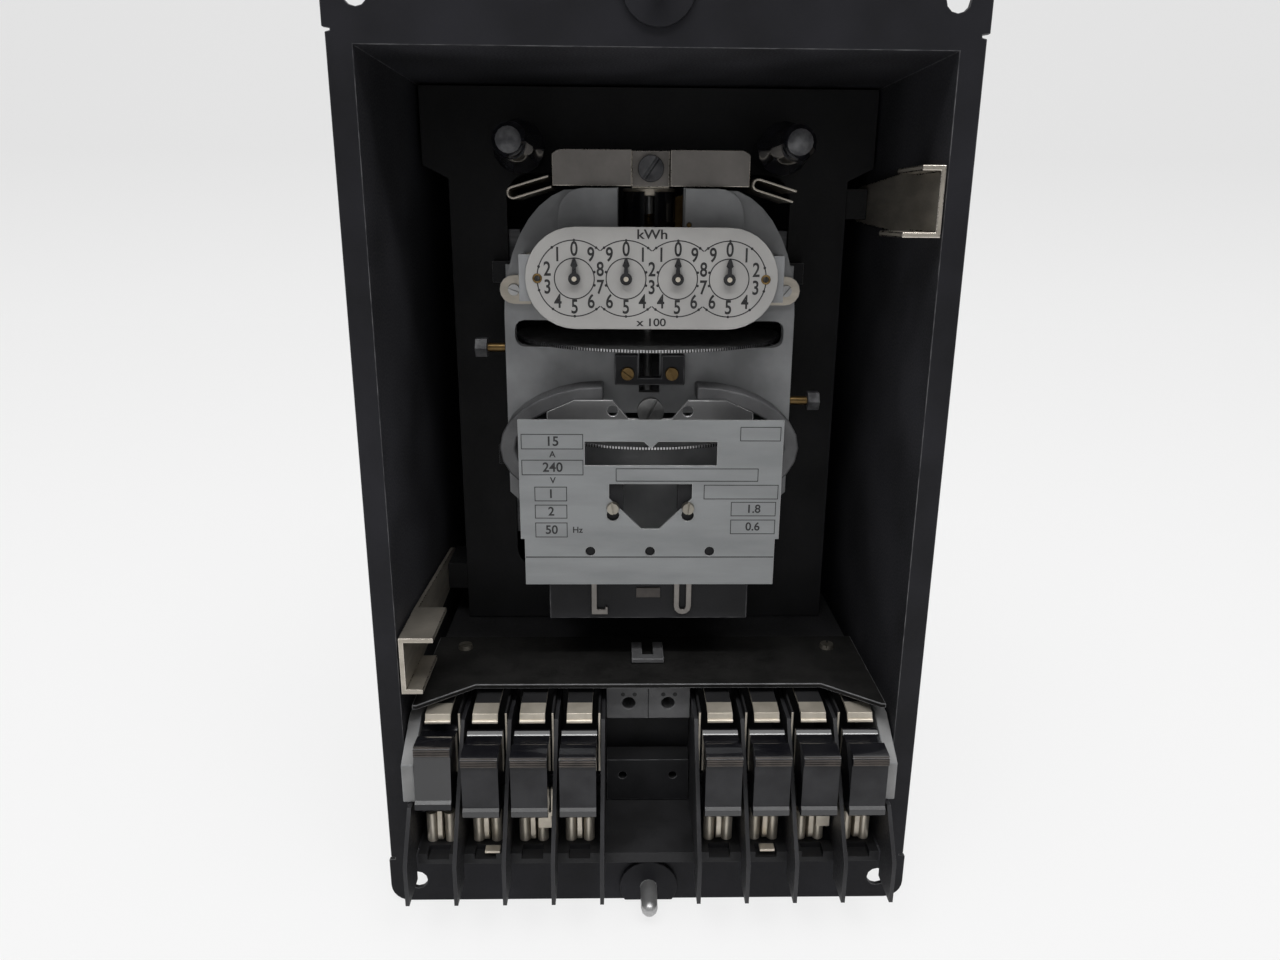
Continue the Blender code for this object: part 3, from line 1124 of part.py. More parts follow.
def make_gear_train():
    worm_front = FRAME_REAR + GEAR_LEVEL_STEP
    run = math.hypot(IDLER_X - WORM_WHEEL_X, IDLER_Z - WORM_Z)
    lean = math.degrees(math.atan2(IDLER_Z - WORM_Z, IDLER_X - WORM_WHEEL_X))
    small, large = pitch_radii(run, PINION_TEETH, IDLER_TEETH)
    place = (WORM_WHEEL_X, WORM_Z)
    wheel = gear(place, WORM_WHEEL_RADIUS - TOOTH_ADDENDUM, WORM_WHEEL_TEETH, 0, SHAFT_Y - GEAR_WIDTH,
                 2 * GEAR_WIDTH)
    pinion = gear(place, small, PINION_TEETH, lean, worm_front)
    arbor("worm_wheel", *place, BOSS_FRONT, SHAFT_Y + 3 * GEAR_WIDTH, [wheel, pinion], BRASS)
    units_x = dial_x(DIAL_COUNT - 1)
    rise = math.hypot(units_x - IDLER_X, DIAL_Z - IDLER_Z)
    tilt = math.degrees(math.atan2(DIAL_Z - IDLER_Z, units_x - IDLER_X))
    idler_small, units_radius = pitch_radii(rise, PINION_TEETH, WHEEL_TEETH)
    place = (IDLER_X, IDLER_Z)
    half_tooth = 180 / IDLER_TEETH
    wheel = gear(place, large, IDLER_TEETH, lean + 180 + half_tooth, worm_front)
    pinion = gear(place, idler_small, PINION_TEETH, tilt, GEAR_LEVELS[0])
    rear = worm_front + 2 * GEAR_WIDTH
    arbor("idler_arbor", *place, GEAR_LEVELS[0] - FIT_GAP, rear, [wheel, pinion], BRASS)
    small, large = pitch_radii(DIAL_PITCH, PINION_TEETH, WHEEL_TEETH)
    half_tooth = 180 / WHEEL_TEETH
    for step in range(DIAL_COUNT):
        index = DIAL_COUNT - 1 - step
        place = (dial_x(index), DIAL_Z)
        level = GEAR_LEVELS[step % 2]
        if step == 0:
            gears = [gear(place, units_radius, WHEEL_TEETH, tilt + 180 + half_tooth, level)]
        else:
            gears = [gear(place, large, WHEEL_TEETH, half_tooth, level)]
        if step < DIAL_COUNT - 1:
            gears.append(gear(place, small, PINION_TEETH, 180, GEAR_LEVELS[(step + 1) % 2]))
        gears.append(pointer(place[0]))
        tip = DIAL_FRONT - POINTER_LIFT - POINTER_THICKNESS - POINTER_CAP
        arbor(f"dial_arbor_{index + 1}", *place, tip, REGISTER_REAR - FIT_GAP, gears, POINTER_BLACK)


def make_register():
    low = DIAL_Z - REGISTER_HALF_HEIGHT
    outer = rectangle((-REGISTER_HALF_LENGTH, REGISTER_FRONT), (REGISTER_HALF_LENGTH, REGISTER_REAR))
    inner = rectangle((REGISTER_PLATE - REGISTER_HALF_LENGTH, REGISTER_FRONT + REGISTER_PLATE),
                      (REGISTER_HALF_LENGTH - REGISTER_PLATE, REGISTER_REAR - REGISTER_PLATE))
    body = plan_plate("body", [outer, inner], low, 2 * REGISTER_HALF_HEIGHT)
    frame = mesh_object("register_frame", body, NICKEL)
    ears = bmesh.new()
    root = REGISTER_HALF_LENGTH - 2 * REGISTER_PLATE
    for side in (-1, 1):
        outline = [(root, REGISTER_EAR_Z - REGISTER_EAR_RADIUS)]
        outline += arc((REGISTER_EAR_X, REGISTER_EAR_Z), REGISTER_EAR_RADIUS, -90, 90, 8)
        outline += [(root, REGISTER_EAR_Z + REGISTER_EAR_RADIUS)]
        outline = [(side * u, v) for u, v in outline]
        add_bm(ears, front_plate("ear", [outline], REGISTER_REAR - REGISTER_PLATE, REGISTER_PLATE))
    boolean(frame, ears, "UNION")
    bores = bmesh.new()
    for index in range(DIAL_COUNT):
        x = dial_x(index)
        rod(bores, (x, REGISTER_FRONT - FIT_GAP, DIAL_Z), (x, REGISTER_REAR + FIT_GAP, DIAL_Z),
            ARBOR_RADIUS + RUN_GAP)
    boolean(frame, bores, "DIFFERENCE")
    flat = DIAL_HALF_LENGTH - DIAL_HALF_HEIGHT
    rim = arc((flat, DIAL_Z), DIAL_HALF_HEIGHT, -90, 90, 16)
    rim += arc((-flat, DIAL_Z), DIAL_HALF_HEIGHT, 90, 270, 16)
    holes = [circle((dial_x(i), DIAL_Z), ARBOR_RADIUS + RUN_GAP, SMALL_SIDES) for i in range(DIAL_COUNT)]
    holes += [circle((x, DIAL_Z), EYELET_RADIUS, SMALL_SIDES) for x in (-EYELET_X, EYELET_X)]
    mesh_object("dial_plate", front_plate("dial", [rim] + holes, DIAL_FRONT, DIAL_THICKNESS), DIAL_WHITE)


# Test switches

BASE_WALL_TOP = SHELF_Z - FIT_GAP
BASE_BOTTOM = FIT_GAP - OPENING_HALF_HEIGHT


def switch_places():
    """Centres of the eight switches; the two middle positions of the row are blank."""
    right = [(k + 1.5) * SWITCH_PITCH for k in range(SWITCH_PER_SIDE)]
    return [-x for x in reversed(right)] + right


def make_switch_base():
    """Moulded base with the hinge posts, jaw tabs and jaw leaves of the eight switches set in it."""
    profile = [(BASE_FRONT, BASE_BOTTOM), (BASE_REAR, BASE_BOTTOM), (BASE_REAR, BASE_WALL_TOP),
               (BASE_WALL, BASE_WALL_TOP), (BASE_WALL, BASE_FLOOR), (BASE_FRONT, BASE_FLOOR)]
    body = side_plate("base", [profile], -BASE_HALF_WIDTH, 2 * BASE_HALF_WIDTH)
    base = mesh_object("switch_base", body, BAKELITE)
    posts = bmesh.new()
    tabs = bmesh.new()
    leaves = bmesh.new()
    pockets = bmesh.new()
    root = BASE_WALL + INSERT_SINK
    t = JAW_SHEET
    tab = [(root, JAW_TOP), (JAW_BEND_Y, JAW_TOP), (JAW_TIP_Y + t, JAW_TOP - t), (JAW_TIP_Y, JAW_TIP_Z),
           (JAW_TIP_Y + t, JAW_TIP_Z - t / 2), (JAW_TIP_Y + 2 * t, JAW_TOP - 2 * t),
           (JAW_BEND_Y, JAW_TOP - t), (root, JAW_TOP - t)]
    leaf_top = JAW_TOP - 2 * t
    leaf = [(root, leaf_top), (root, leaf_top - LEAF_ROOT), (LEAF_FRONT + LEAF_WIDTH, LEAF_BOTTOM),
            (LEAF_FRONT, LEAF_BOTTOM), (LEAF_FRONT, leaf_top)]
    for x in switch_places():
        for post_x in (x - POST_SPACING / 2, x + POST_SPACING / 2):
            rod(posts, (post_x, HINGE_Y, BASE_FLOOR - INSERT_SINK), (post_x, HINGE_Y, POST_TOP), POST_RADIUS)
        add_bm(tabs, side_plate("tab", [tab], x - JAW_WIDTH / 2, JAW_WIDTH))
        towards_middle = -1 if x > 0 else 1
        left = x + towards_middle * (SWITCH_PITCH / 2 - FIN_THICKNESS) - LEAF_SHEET / 2
        add_bm(leaves, side_plate("leaf", [leaf], left, LEAF_SHEET))
        block(pockets, (x - POCKET_HALF_WIDTH, BASE_FRONT - FIT_GAP, BASE_FLOOR - POCKET_DEPTH),
              (x + POCKET_HALF_WIDTH, HINGE_Y - 2 * POST_RADIUS, BASE_FLOOR + FIT_GAP))
    for inserts in (posts, tabs, leaves):
        boolean(base, inserts, "UNION")
    boolean(base, pockets, "DIFFERENCE")


def make_barriers():
    """Ten fins on one spine along the foot of the wall, the end cheeks and the middle contact blocks."""
    wall = BASE_WALL - FIT_GAP
    floor = BASE_FLOOR + FIT_GAP
    lip = BASE_FRONT - FIT_GAP
    profile = [(wall, FIN_TOP), (FIN_CREST_Y, FIN_TOP), (FIN_FRONT, FIN_TIP_TOP),
               (FIN_FRONT, FIN_TIP_BOTTOM), (lip, FIN_TIP_BOTTOM), (lip, floor), (wall, floor)]
    end_top = CHEEK_BOTTOM - FIT_GAP
    share = (end_top - FIN_TIP_TOP) / (FIN_TOP - FIN_TIP_TOP)
    end_front = FIN_FRONT + share * (FIN_CREST_Y - FIN_FRONT)
    end_profile = [(wall, end_top), (end_front, end_top)] + profile[2:]
    fins = bmesh.new()
    for k in range(1, SWITCH_PER_SIDE + 2):
        outline = profile if k <= SWITCH_PER_SIDE else end_profile
        for x in (-k * SWITCH_PITCH, k * SWITCH_PITCH):
            add_bm(fins, side_plate("fin", [outline], x - FIN_THICKNESS / 2, FIN_THICKNESS))
    barrier = mesh_object("barrier_fins", fins, BAKELITE)
    end = (SWITCH_PER_SIDE + 1) * SWITCH_PITCH
    spine = bmesh.new()
    block(spine, (-end, wall - FIN_THICKNESS, floor + FIN_THICKNESS),
          (end, wall - FIT_GAP, floor + SPINE_HEIGHT))
    boolean(barrier, spine, "UNION")
    inner = (SWITCH_PER_SIDE + 0.5) * SWITCH_PITCH + HANDLE_WIDTH / 2 + FIT_GAP
    outer = end + FIN_THICKNESS / 2 + FIT_GAP + CHEEK_REACH
    cheek = [(wall, CHEEK_TOP), (CHEEK_CREST_Y, CHEEK_TOP), (CHEEK_FRONT, CHEEK_SHOULDER),
             (CHEEK_FRONT, CHEEK_BOTTOM), (wall, CHEEK_BOTTOM)]
    for name, left in (("end_cheek_left", -outer), ("end_cheek_right", inner)):
        mesh_object(name, side_plate("cheek", [cheek], left, outer - inner), GREY_MOULDING)
    middle = (CONTACT_TOP + CONTACT_BOTTOM) / 2
    holes = [circle((x, middle), CONTACT_HOLE_RADIUS) for x in (-CONTACT_HOLE_X, CONTACT_HOLE_X)]
    outline = rectangle((-CONTACT_HALF_WIDTH, CONTACT_BOTTOM), (CONTACT_HALF_WIDTH, CONTACT_TOP))
    body = front_plate("contact", [outline] + holes, CONTACT_FRONT, wall - CONTACT_FRONT)
    mesh_object("contact_block", body, GREY_MOULDING)
    holes = [circle((x, ROW_FLOOR + LOWER_HOLE_RISE), LOWER_HOLE_RADIUS, SMALL_SIDES)
             for x in (-LOWER_HOLE_X, LOWER_HOLE_X)]
    outline = rectangle((-CONTACT_HALF_WIDTH, floor), (CONTACT_HALF_WIDTH, ROW_FLOOR + LOWER_CONTACT_RISE))
    rear = wall - FIN_THICKNESS - FIT_GAP
    body = front_plate("lower", [outline] + holes, CONTACT_FRONT, rear - CONTACT_FRONT)
    mesh_object("lower_contact_block", body, BAKELITE)


def handle_profile():
    """Side view of a handle: back, two ridges with a saddle between, grip, front face, lower lip."""
    top = HANDLE_TOP
    front = HANDLE_FRONT
    grip = front - HANDLE_GRIP_STEP
    lip = front - HANDLE_LIP_STEP
    bottom = HANDLE_BOTTOM
    points = [(HANDLE_BACK - HANDLE_RIDGE, top - HANDLE_SHOULDER)]
    points += arc((HANDLE_BACK - HANDLE_RIDGE, top - HANDLE_RIDGE), HANDLE_RIDGE, 0, 120, 5)
    points += [(HANDLE_BACK / 3 - HANDLE_RIDGE, top - HANDLE_SADDLE),
               (HANDLE_RIDGE_Y + 2 * HANDLE_RIDGE, top - HANDLE_SADDLE)]
    points += arc((HANDLE_RIDGE_Y, top - HANDLE_RIDGE), HANDLE_RIDGE, 60, 110, 3)
    points += [(grip + HANDLE_GRIP_STEP, top - HANDLE_GRIP_STEP), (grip, top - 2 * HANDLE_GRIP_STEP),
               (grip, top - HANDLE_GRIP), (front, top - HANDLE_GRIP - HANDLE_GRIP_STEP),
               (front, bottom + HANDLE_LIP), (lip, bottom + HANDLE_LIP - HANDLE_LIP_STEP),
               (lip, bottom + HANDLE_LIP_STEP), (front, bottom), (front / 2, bottom),
               (front / 2, bottom + HANDLE_LIP)]
    return [(y - HINGE_Y, z - HINGE_Z) for y, z in points]


def make_switches():
    """One blade with its moulded handle, repeated at the eight places; the first stands further home."""
    body = side_plate("handle", [handle_profile()], -HANDLE_WIDTH / 2, HANDLE_WIDTH)
    handle = mesh_object("handle", body, BAKELITE, CUTTERS)
    blade_top = BLADE_TOP - HINGE_Z
    outline = arc((0, 0), BLADE_HALF_DEPTH, 180, 360)
    outline += [(BLADE_HALF_DEPTH, blade_top), (-BLADE_HALF_DEPTH, blade_top)]
    boolean(handle, side_plate("blade", [outline], -BLADE_THICKNESS / 2, BLADE_THICKNESS), "UNION")
    switch = evaluated_mesh(handle)
    blade = handle.modifiers[-1].object
    bpy.data.objects.remove(handle, do_unlink=True)
    bpy.data.objects.remove(blade, do_unlink=True)
    for number, x in enumerate(switch_places(), 1):
        pole = add_object(f"switch_{number}", switch.copy(), BAKELITE)
        pole.location = (x, HINGE_Y, HINGE_Z)
        if number == 1:
            pole.rotation_euler.x = math.radians(HOME_TURN_DEG)


# Shelf

def make_shelf():
    right = [(SHELF_STRAIGHT_HALF, SHELF_FRONT), (SHELF_HORN_X, SHELF_HORN_Y),
             (SHELF_HALF_WIDTH, SHELF_HORN_Y), (SHELF_HALF_WIDTH, SHELF_REAR)]
    shelf = plan_plate("shelf", [mirrored(right)], SHELF_Z, SHELF_THICKNESS)
    mesh_object("barrier_shelf", shelf, BAKELITE)
    seat = SHELF_Z + SHELF_THICKNESS + FIT_GAP
    w = SHELF_CLIP_HALF_WIDTH
    arm = w - SHELF_CLIP_ARM
    right = [(w, SHELF_CLIP_FRONT), (w, SHELF_CLIP_REAR), (arm, SHELF_CLIP_REAR),
             (arm, SHELF_CLIP_FRONT + SHELF_CLIP_ARM)]
    mesh_object("shelf_clip", plan_plate("clip", [mirrored(right)], seat, SHELF_THICKNESS), GREY_MOULDING)


def main():
    make_case()
    make_cover_stud("cover_stud_upper", 1)
    make_cover_stud("cover_stud_lower", -1)
    make_terminals()
    make_chassis()
    make_pillar("support_pillar_left", -1)
    make_pillar("support_pillar_right", 1)
    make_clips()
    make_latch_arm("latch_arm_upper", 1, LATCH_UPPER_Z)
    make_latch_arm("latch_arm_lower", -1, LATCH_LOWER_Z)
    make_rotor()
    make_meter_frame()
    make_upper_bearing()
    make_lower_bearing()
    make_elements()
    make_magnet("brake_magnet_left", -1)
    make_magnet("brake_magnet_right", 1)
    make_keeper()
    make_adjusters()
    make_nameplate()
    make_front_block()
    make_register()
    make_gear_train()
    make_switch_base()
    make_barriers()
    make_switches()
    make_shelf()


main()
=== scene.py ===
# %% [markdown]
# # A switchboard meter with its cover off
# The imported solids already stand in the right places and have the right sizes. This lesson dresses them: it
# eases their edges, gives every piece a finish with grain and wear, and adds the small things that the solids
# leave out, such as the printing on the dial, screw heads, grip ribs and the marks on the discs' rims.
# The frame is loaded first.

# %% Load the imported meter
import json
import math

import bmesh
import bpy
from mathutils import Matrix, Vector


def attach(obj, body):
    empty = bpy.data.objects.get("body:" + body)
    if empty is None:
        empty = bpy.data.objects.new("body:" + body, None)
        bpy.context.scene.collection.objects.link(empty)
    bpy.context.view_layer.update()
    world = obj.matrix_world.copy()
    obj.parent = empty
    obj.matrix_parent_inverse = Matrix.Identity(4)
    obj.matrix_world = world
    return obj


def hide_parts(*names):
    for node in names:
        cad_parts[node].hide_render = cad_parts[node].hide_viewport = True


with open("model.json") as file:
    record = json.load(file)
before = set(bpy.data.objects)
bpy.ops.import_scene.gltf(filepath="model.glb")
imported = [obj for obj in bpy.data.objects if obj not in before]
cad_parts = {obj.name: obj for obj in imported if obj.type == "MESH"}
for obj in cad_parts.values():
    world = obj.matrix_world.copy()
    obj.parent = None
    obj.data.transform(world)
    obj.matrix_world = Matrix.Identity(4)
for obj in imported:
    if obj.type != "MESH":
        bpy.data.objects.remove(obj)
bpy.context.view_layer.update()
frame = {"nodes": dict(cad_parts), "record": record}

MM = 0.001
nodes = frame["nodes"]
body_of = {}
for body, members in frame["record"]["behaviour"]["bodies"].items():
    body_of.update({node: body for node in members})

# %% [markdown]
# ## The camera
# The photograph was taken from a little above, close to the case, so the sides of the case fall in towards
# the rear. The camera's place and its three angles were solved from corners whose sizes are known, so they
# are written here as numbers. The lens follows from a focal length counted in pixels of a 1280 pixel wide
# image.

# %% Camera
PITCH, YAW, ROLL = math.radians(16.24), math.radians(1.26), math.radians(0.44)
EYE = Vector((-9.4, -256.3, 79.6)) * MM
FOCAL_PIXELS, IMAGE_WIDTH, SENSOR_WIDTH = 917.1, 1280, 36.0

ahead = Vector((math.sin(YAW) * math.cos(PITCH), math.cos(YAW) * math.cos(PITCH), -math.sin(PITCH)))
level = Vector((math.cos(YAW), -math.sin(YAW), 0))
above = level.cross(ahead)
across = math.cos(ROLL) * level + math.sin(ROLL) * above
upright = math.cos(ROLL) * above - math.sin(ROLL) * level

lens = bpy.data.cameras.new("bench_lens")
lens.sensor_width = SENSOR_WIDTH
lens.lens = FOCAL_PIXELS / IMAGE_WIDTH * SENSOR_WIDTH
lens.clip_start = 0.01
camera = bpy.data.objects.new("bench_camera", lens)
bpy.context.scene.collection.objects.link(camera)
camera.matrix_world = Matrix.Translation(EYE) @ Matrix((across, upright, -ahead)).transposed().to_4x4()
bpy.context.scene.camera = camera
bpy.context.scene.view_settings.view_transform = "Standard"
print("lens", round(lens.lens, 2), "mm")

# %% [markdown]
# ## Finishes
# Nothing on an old meter has one flat colour. Paint clouds a little, metal carries fine scratches along the
# way it was rolled, and dust settles on what faces up. One helper builds all of that from two noises on
# Object coordinates: a coarse one that mixes a dark and a light shade, and a fine one that drives roughness
# and bump. An image texture could do the same, but the noises need no file and have no seams.

# %% One helper for every finish
DUST = (0.24, 0.235, 0.225, 1)


def finish(name, dark, light, rough, patch=40.0, grain=1200.0, bump=0.1, metal=0.0, coat=0.0,
           stretch=(1, 1, 1), dust=0.0, shine=0.5):
    made = bpy.data.materials.new(name)
    made.use_nodes = True
    tree = made.node_tree
    shader = tree.nodes["Principled BSDF"]
    shader.inputs["Metallic"].default_value = metal
    shader.inputs["Coat Weight"].default_value = coat
    shader.inputs["Specular IOR Level"].default_value = shine
    shader.inputs["Coat Roughness"].default_value = 0.05
    place = tree.nodes.new("ShaderNodeTexCoord")
    drawn = tree.nodes.new("ShaderNodeMapping")
    drawn.inputs["Scale"].default_value = stretch
    tree.links.new(place.outputs["Object"], drawn.inputs["Vector"])
    cloud, fine = (tree.nodes.new("ShaderNodeTexNoise") for _ in range(2))
    cloud.inputs["Scale"].default_value = patch
    cloud.inputs["Detail"].default_value = 6.0
    fine.inputs["Scale"].default_value = grain
    for noise in (cloud, fine):
        tree.links.new(drawn.outputs["Vector"], noise.inputs["Vector"])
    shade = tree.nodes.new("ShaderNodeValToRGB")
    shade.color_ramp.elements[0].position, shade.color_ramp.elements[1].position = 0.36, 0.64
    shade.color_ramp.elements[0].color = (*dark, 1)
    shade.color_ramp.elements[1].color = (*light, 1)
    tree.links.new(cloud.outputs["Fac"], shade.inputs["Fac"])
    colour = shade.outputs["Color"]
    if dust:
        colour = settled_dust(tree, colour, fine.outputs["Fac"], dust)
    tree.links.new(colour, shader.inputs["Base Color"])
    gloss = tree.nodes.new("ShaderNodeMapRange")
    gloss.inputs["From Min"].default_value, gloss.inputs["From Max"].default_value = 0.3, 0.7
    gloss.inputs["To Min"].default_value, gloss.inputs["To Max"].default_value = rough
    tree.links.new(fine.outputs["Fac"], gloss.inputs["Value"])
    tree.links.new(gloss.outputs["Result"], shader.inputs["Roughness"])
    relief = tree.nodes.new("ShaderNodeBump")
    relief.inputs["Strength"].default_value = bump
    relief.inputs["Distance"].default_value = 0.1 * MM
    tree.links.new(fine.outputs["Fac"], relief.inputs["Height"])
    tree.links.new(relief.outputs["Normal"], shader.inputs["Normal"])
    return made


def settled_dust(tree, colour, speck, amount):
    """Grey dust on the faces that look up, thinner where the fine noise is low."""
    surface = tree.nodes.new("ShaderNodeNewGeometry")
    slope = tree.nodes.new("ShaderNodeSeparateXYZ")
    tree.links.new(surface.outputs["Normal"], slope.inputs["Vector"])
    layer = tree.nodes.new("ShaderNodeMapRange")
    layer.inputs["From Min"].default_value = 0.5
    layer.inputs["To Max"].default_value = amount
    tree.links.new(slope.outputs["Z"], layer.inputs["Value"])
    thin = tree.nodes.new("ShaderNodeMath")
    thin.operation = "MULTIPLY"
    tree.links.new(layer.outputs["Result"], thin.inputs[0])
    tree.links.new(speck, thin.inputs[1])
    mix = tree.nodes.new("ShaderNodeMix")
    mix.data_type = "RGBA"
    mix.inputs[7].default_value = DUST
    tree.links.new(thin.outputs["Value"], mix.inputs[0])
    tree.links.new(colour, mix.inputs[6])
    return mix.outputs[2]


# %% Paints, mouldings and fibre
case_paint = finish("case_paint", (0.012, 0.012, 0.014), (0.02, 0.02, 0.024), (0.4, 0.6),
                    30, 1500, 0.12, dust=0.1, shine=0.15)
# A paler copy of the case paint for the inner walls: painted light inside the case, with the same dust.
case_inside_painted_light = finish("case_inside_painted_light", (0.024, 0.024, 0.027), (0.042, 0.042, 0.048), (0.45, 0.65),
                     30, 1500, 0.12, dust=0.1, shine=0.2)
chassis_paint = finish("chassis_paint", (0.009, 0.009, 0.0095), (0.016, 0.016, 0.017), (0.45, 0.65),
                       30, 1500, 0.1, shine=0.16)
chassis_black = finish("chassis_black", (0.013, 0.013, 0.014), (0.024, 0.024, 0.026), (0.45, 0.65),
                       30, 1500, 0.1, shine=0.2)
# A lighter grey for rubbed edges; on the pillar tips it is partly wear and partly painted highlight.
rubbed_edge_and_highlight = finish("rubbed_edge_and_highlight", (0.022, 0.022, 0.026), (0.11, 0.11, 0.115), (0.35, 0.55), 260, 1500, 0.15)
casting_grey = finish("casting_grey", (0.18, 0.183, 0.188), (0.3, 0.305, 0.312), (0.42, 0.58),
                      45, 2600, 0.3, dust=0.2)
casting_edge = finish("casting_edge", (0.2, 0.205, 0.21), (0.3, 0.305, 0.31), (0.4, 0.55), 120, 2600, 0.2)
magnet_paint = finish("magnet_paint", (0.065, 0.065, 0.068), (0.12, 0.12, 0.124), (0.4, 0.6), 70, 1800, 0.25)
handle_gloss = finish("handle_gloss", (0.006, 0.006, 0.008), (0.012, 0.012, 0.014), (0.12, 0.2),
                      90, 700, 0.03, coat=0.8)
handle_satin = finish("handle_satin", (0.015, 0.015, 0.017), (0.03, 0.03, 0.033), (0.4, 0.55),
                      110, 2200, 0.2, shine=0.3)
moulded_black = finish("moulded_black", (0.01, 0.01, 0.011), (0.02, 0.02, 0.022), (0.38, 0.58),
                       60, 1600, 0.15, dust=0.06, shine=0.25)
fin_black = finish("fin_black", (0.018, 0.018, 0.02), (0.036, 0.036, 0.039), (0.38, 0.55),
                   60, 1600, 0.15, shine=0.4)
# A light grey for the mouldings' eased edges: painted highlight along the edges.
moulded_edge_highlight = finish("moulded_edge_highlight", (0.1, 0.1, 0.104), (0.19, 0.19, 0.195), (0.35, 0.5), 200, 1600, 0.15)
grey_moulding = finish("grey_moulding", (0.09, 0.09, 0.093), (0.14, 0.14, 0.144), (0.4, 0.6), 70, 1700, 0.2)
cheek_grey = finish("cheek_grey", (0.2, 0.2, 0.2), (0.3, 0.3, 0.3), (0.4, 0.6), 60, 1500, 0.2)
fibre_sheet = finish("fibre_sheet", (0.006, 0.0058, 0.0055), (0.014, 0.0135, 0.013), (0.6, 0.8),
                     90, 900, 0.2, dust=0.03, shine=0.15)
coil_tape = finish("coil_tape", (0.03, 0.022, 0.016), (0.07, 0.05, 0.034), (0.6, 0.8),
                   40, 700, 0.4, stretch=(1, 1, 14))
core_sheets = finish("core_sheets", (0.05, 0.05, 0.055), (0.12, 0.12, 0.125), (0.4, 0.6),
                     60, 900, 0.5, 0.6, stretch=(0.1, 0.1, 6))
print("paints and mouldings made")

# %% Metals, enamel and ink
nickel = finish("nickel", (0.42, 0.385, 0.33), (0.56, 0.515, 0.445), (0.36, 0.52),
                70, 900, 0.05, 0.8, stretch=(1, 1, 4))
contact_nickel = finish("contact_nickel", (0.6, 0.545, 0.455), (0.78, 0.715, 0.61), (0.32, 0.46),
                        120, 900, 0.05, 0.65)
strip_nickel = finish("strip_nickel", (0.2, 0.187, 0.175), (0.27, 0.252, 0.236), (0.36, 0.52),
                      60, 900, 0.05, 0.85)
soft_nickel = finish("soft_nickel", (0.24, 0.222, 0.19), (0.36, 0.335, 0.285), (0.32, 0.46),
                     90, 900, 0.05, 0.9)
nickel_edge = finish("nickel_edge", (0.55, 0.51, 0.45), (0.7, 0.65, 0.58), (0.22, 0.36), 150, 900, 0.05, 1.0)
bright_steel = finish("bright_steel", (0.36, 0.36, 0.365), (0.52, 0.52, 0.52), (0.28, 0.42),
                      120, 1000, 0.08, 0.7)
dull_steel = finish("dull_steel", (0.11, 0.11, 0.11), (0.2, 0.2, 0.198), (0.32, 0.5), 120, 1400, 0.15, 0.9)
brass = finish("brass", (0.12, 0.076, 0.03), (0.21, 0.14, 0.058), (0.3, 0.46), 140, 1200, 0.1, 0.9)
disc_aluminium = finish("disc_aluminium", (0.5, 0.5, 0.5), (0.66, 0.66, 0.66), (0.28, 0.42),
                        60, 900, 0.06, 1.0, stretch=(6, 6, 1))
plate_satin = finish("plate_satin", (0.23, 0.238, 0.242), (0.28, 0.289, 0.294), (0.5, 0.64),
                     30, 1500, 0.05, 0.2, stretch=(1, 1, 5))
keeper_satin = finish("keeper_satin", (0.13, 0.13, 0.132), (0.2, 0.2, 0.202), (0.36, 0.5),
                      50, 1500, 0.08, 0.5)
grip_brown = finish("grip_brown", (0.035, 0.029, 0.026), (0.07, 0.058, 0.05), (0.35, 0.5), 200, 2000, 0.1)
dial_enamel = finish("dial_enamel", (0.36, 0.352, 0.343), (0.42, 0.412, 0.4), (0.42, 0.56), 60, 1600, 0.06)
# Ink for all printing; the same dark also paints shade where the contact block's pin holes are.
ink_and_hole_shade = finish("ink_and_hole_shade", (0.008, 0.008, 0.009), (0.022, 0.022, 0.023), (0.5, 0.7), 400, 2500, 0.05)
pointer_black = finish("pointer_black", (0.008, 0.008, 0.009), (0.02, 0.02, 0.022), (0.25, 0.4),
                       300, 1500, 0.05)
print(len(bpy.data.materials), "materials so far")

# %% [markdown]
# ## Eased copies of the solids
# A CAD solid has knife edges, which no pressed, cast or moulded piece has: the thin bright line along an
# edge is what tells the eye that a thing is real. Each node is copied, its loose triangles are merged, and
# a Bevel modifier rounds the edges. The bevel can take a second material, and that is how worn edges are
# made here; on the mouldings a light grey edge is painted highlight instead. A zone function may give
# some faces another finish, such as the metal inserts in a moulding.

# %% Copy a node and round its edges
def baked(rough):
    """Plain mesh of an object with its modifiers applied; the object goes."""
    graph = bpy.context.evaluated_depsgraph_get()
    mesh = bpy.data.meshes.new_from_object(rough.evaluated_get(graph), depsgraph=graph)
    bpy.data.objects.remove(rough, do_unlink=True)
    return mesh


def held(name, mesh, body):
    """Object for a finished mesh, riding on a body."""
    made = bpy.data.objects.new(name, mesh)
    bpy.context.scene.collection.objects.link(made)
    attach(made, body)
    return made


def rounded(mesh, width, steps=2, angle=40, edge_slot=-1):
    """Bevel a mesh and hand back the result."""
    mesh.shade_smooth()
    mesh.set_sharp_from_angle(angle=math.radians(angle))
    rough = bpy.data.objects.new("rough", mesh)
    bpy.context.scene.collection.objects.link(rough)
    ease = rough.modifiers.new("ease", "BEVEL")
    ease.width = width * MM
    ease.segments = steps
    ease.limit_method = "ANGLE"
    ease.angle_limit = math.radians(angle)
    ease.harden_normals = True
    ease.material = edge_slot
    return baked(rough)


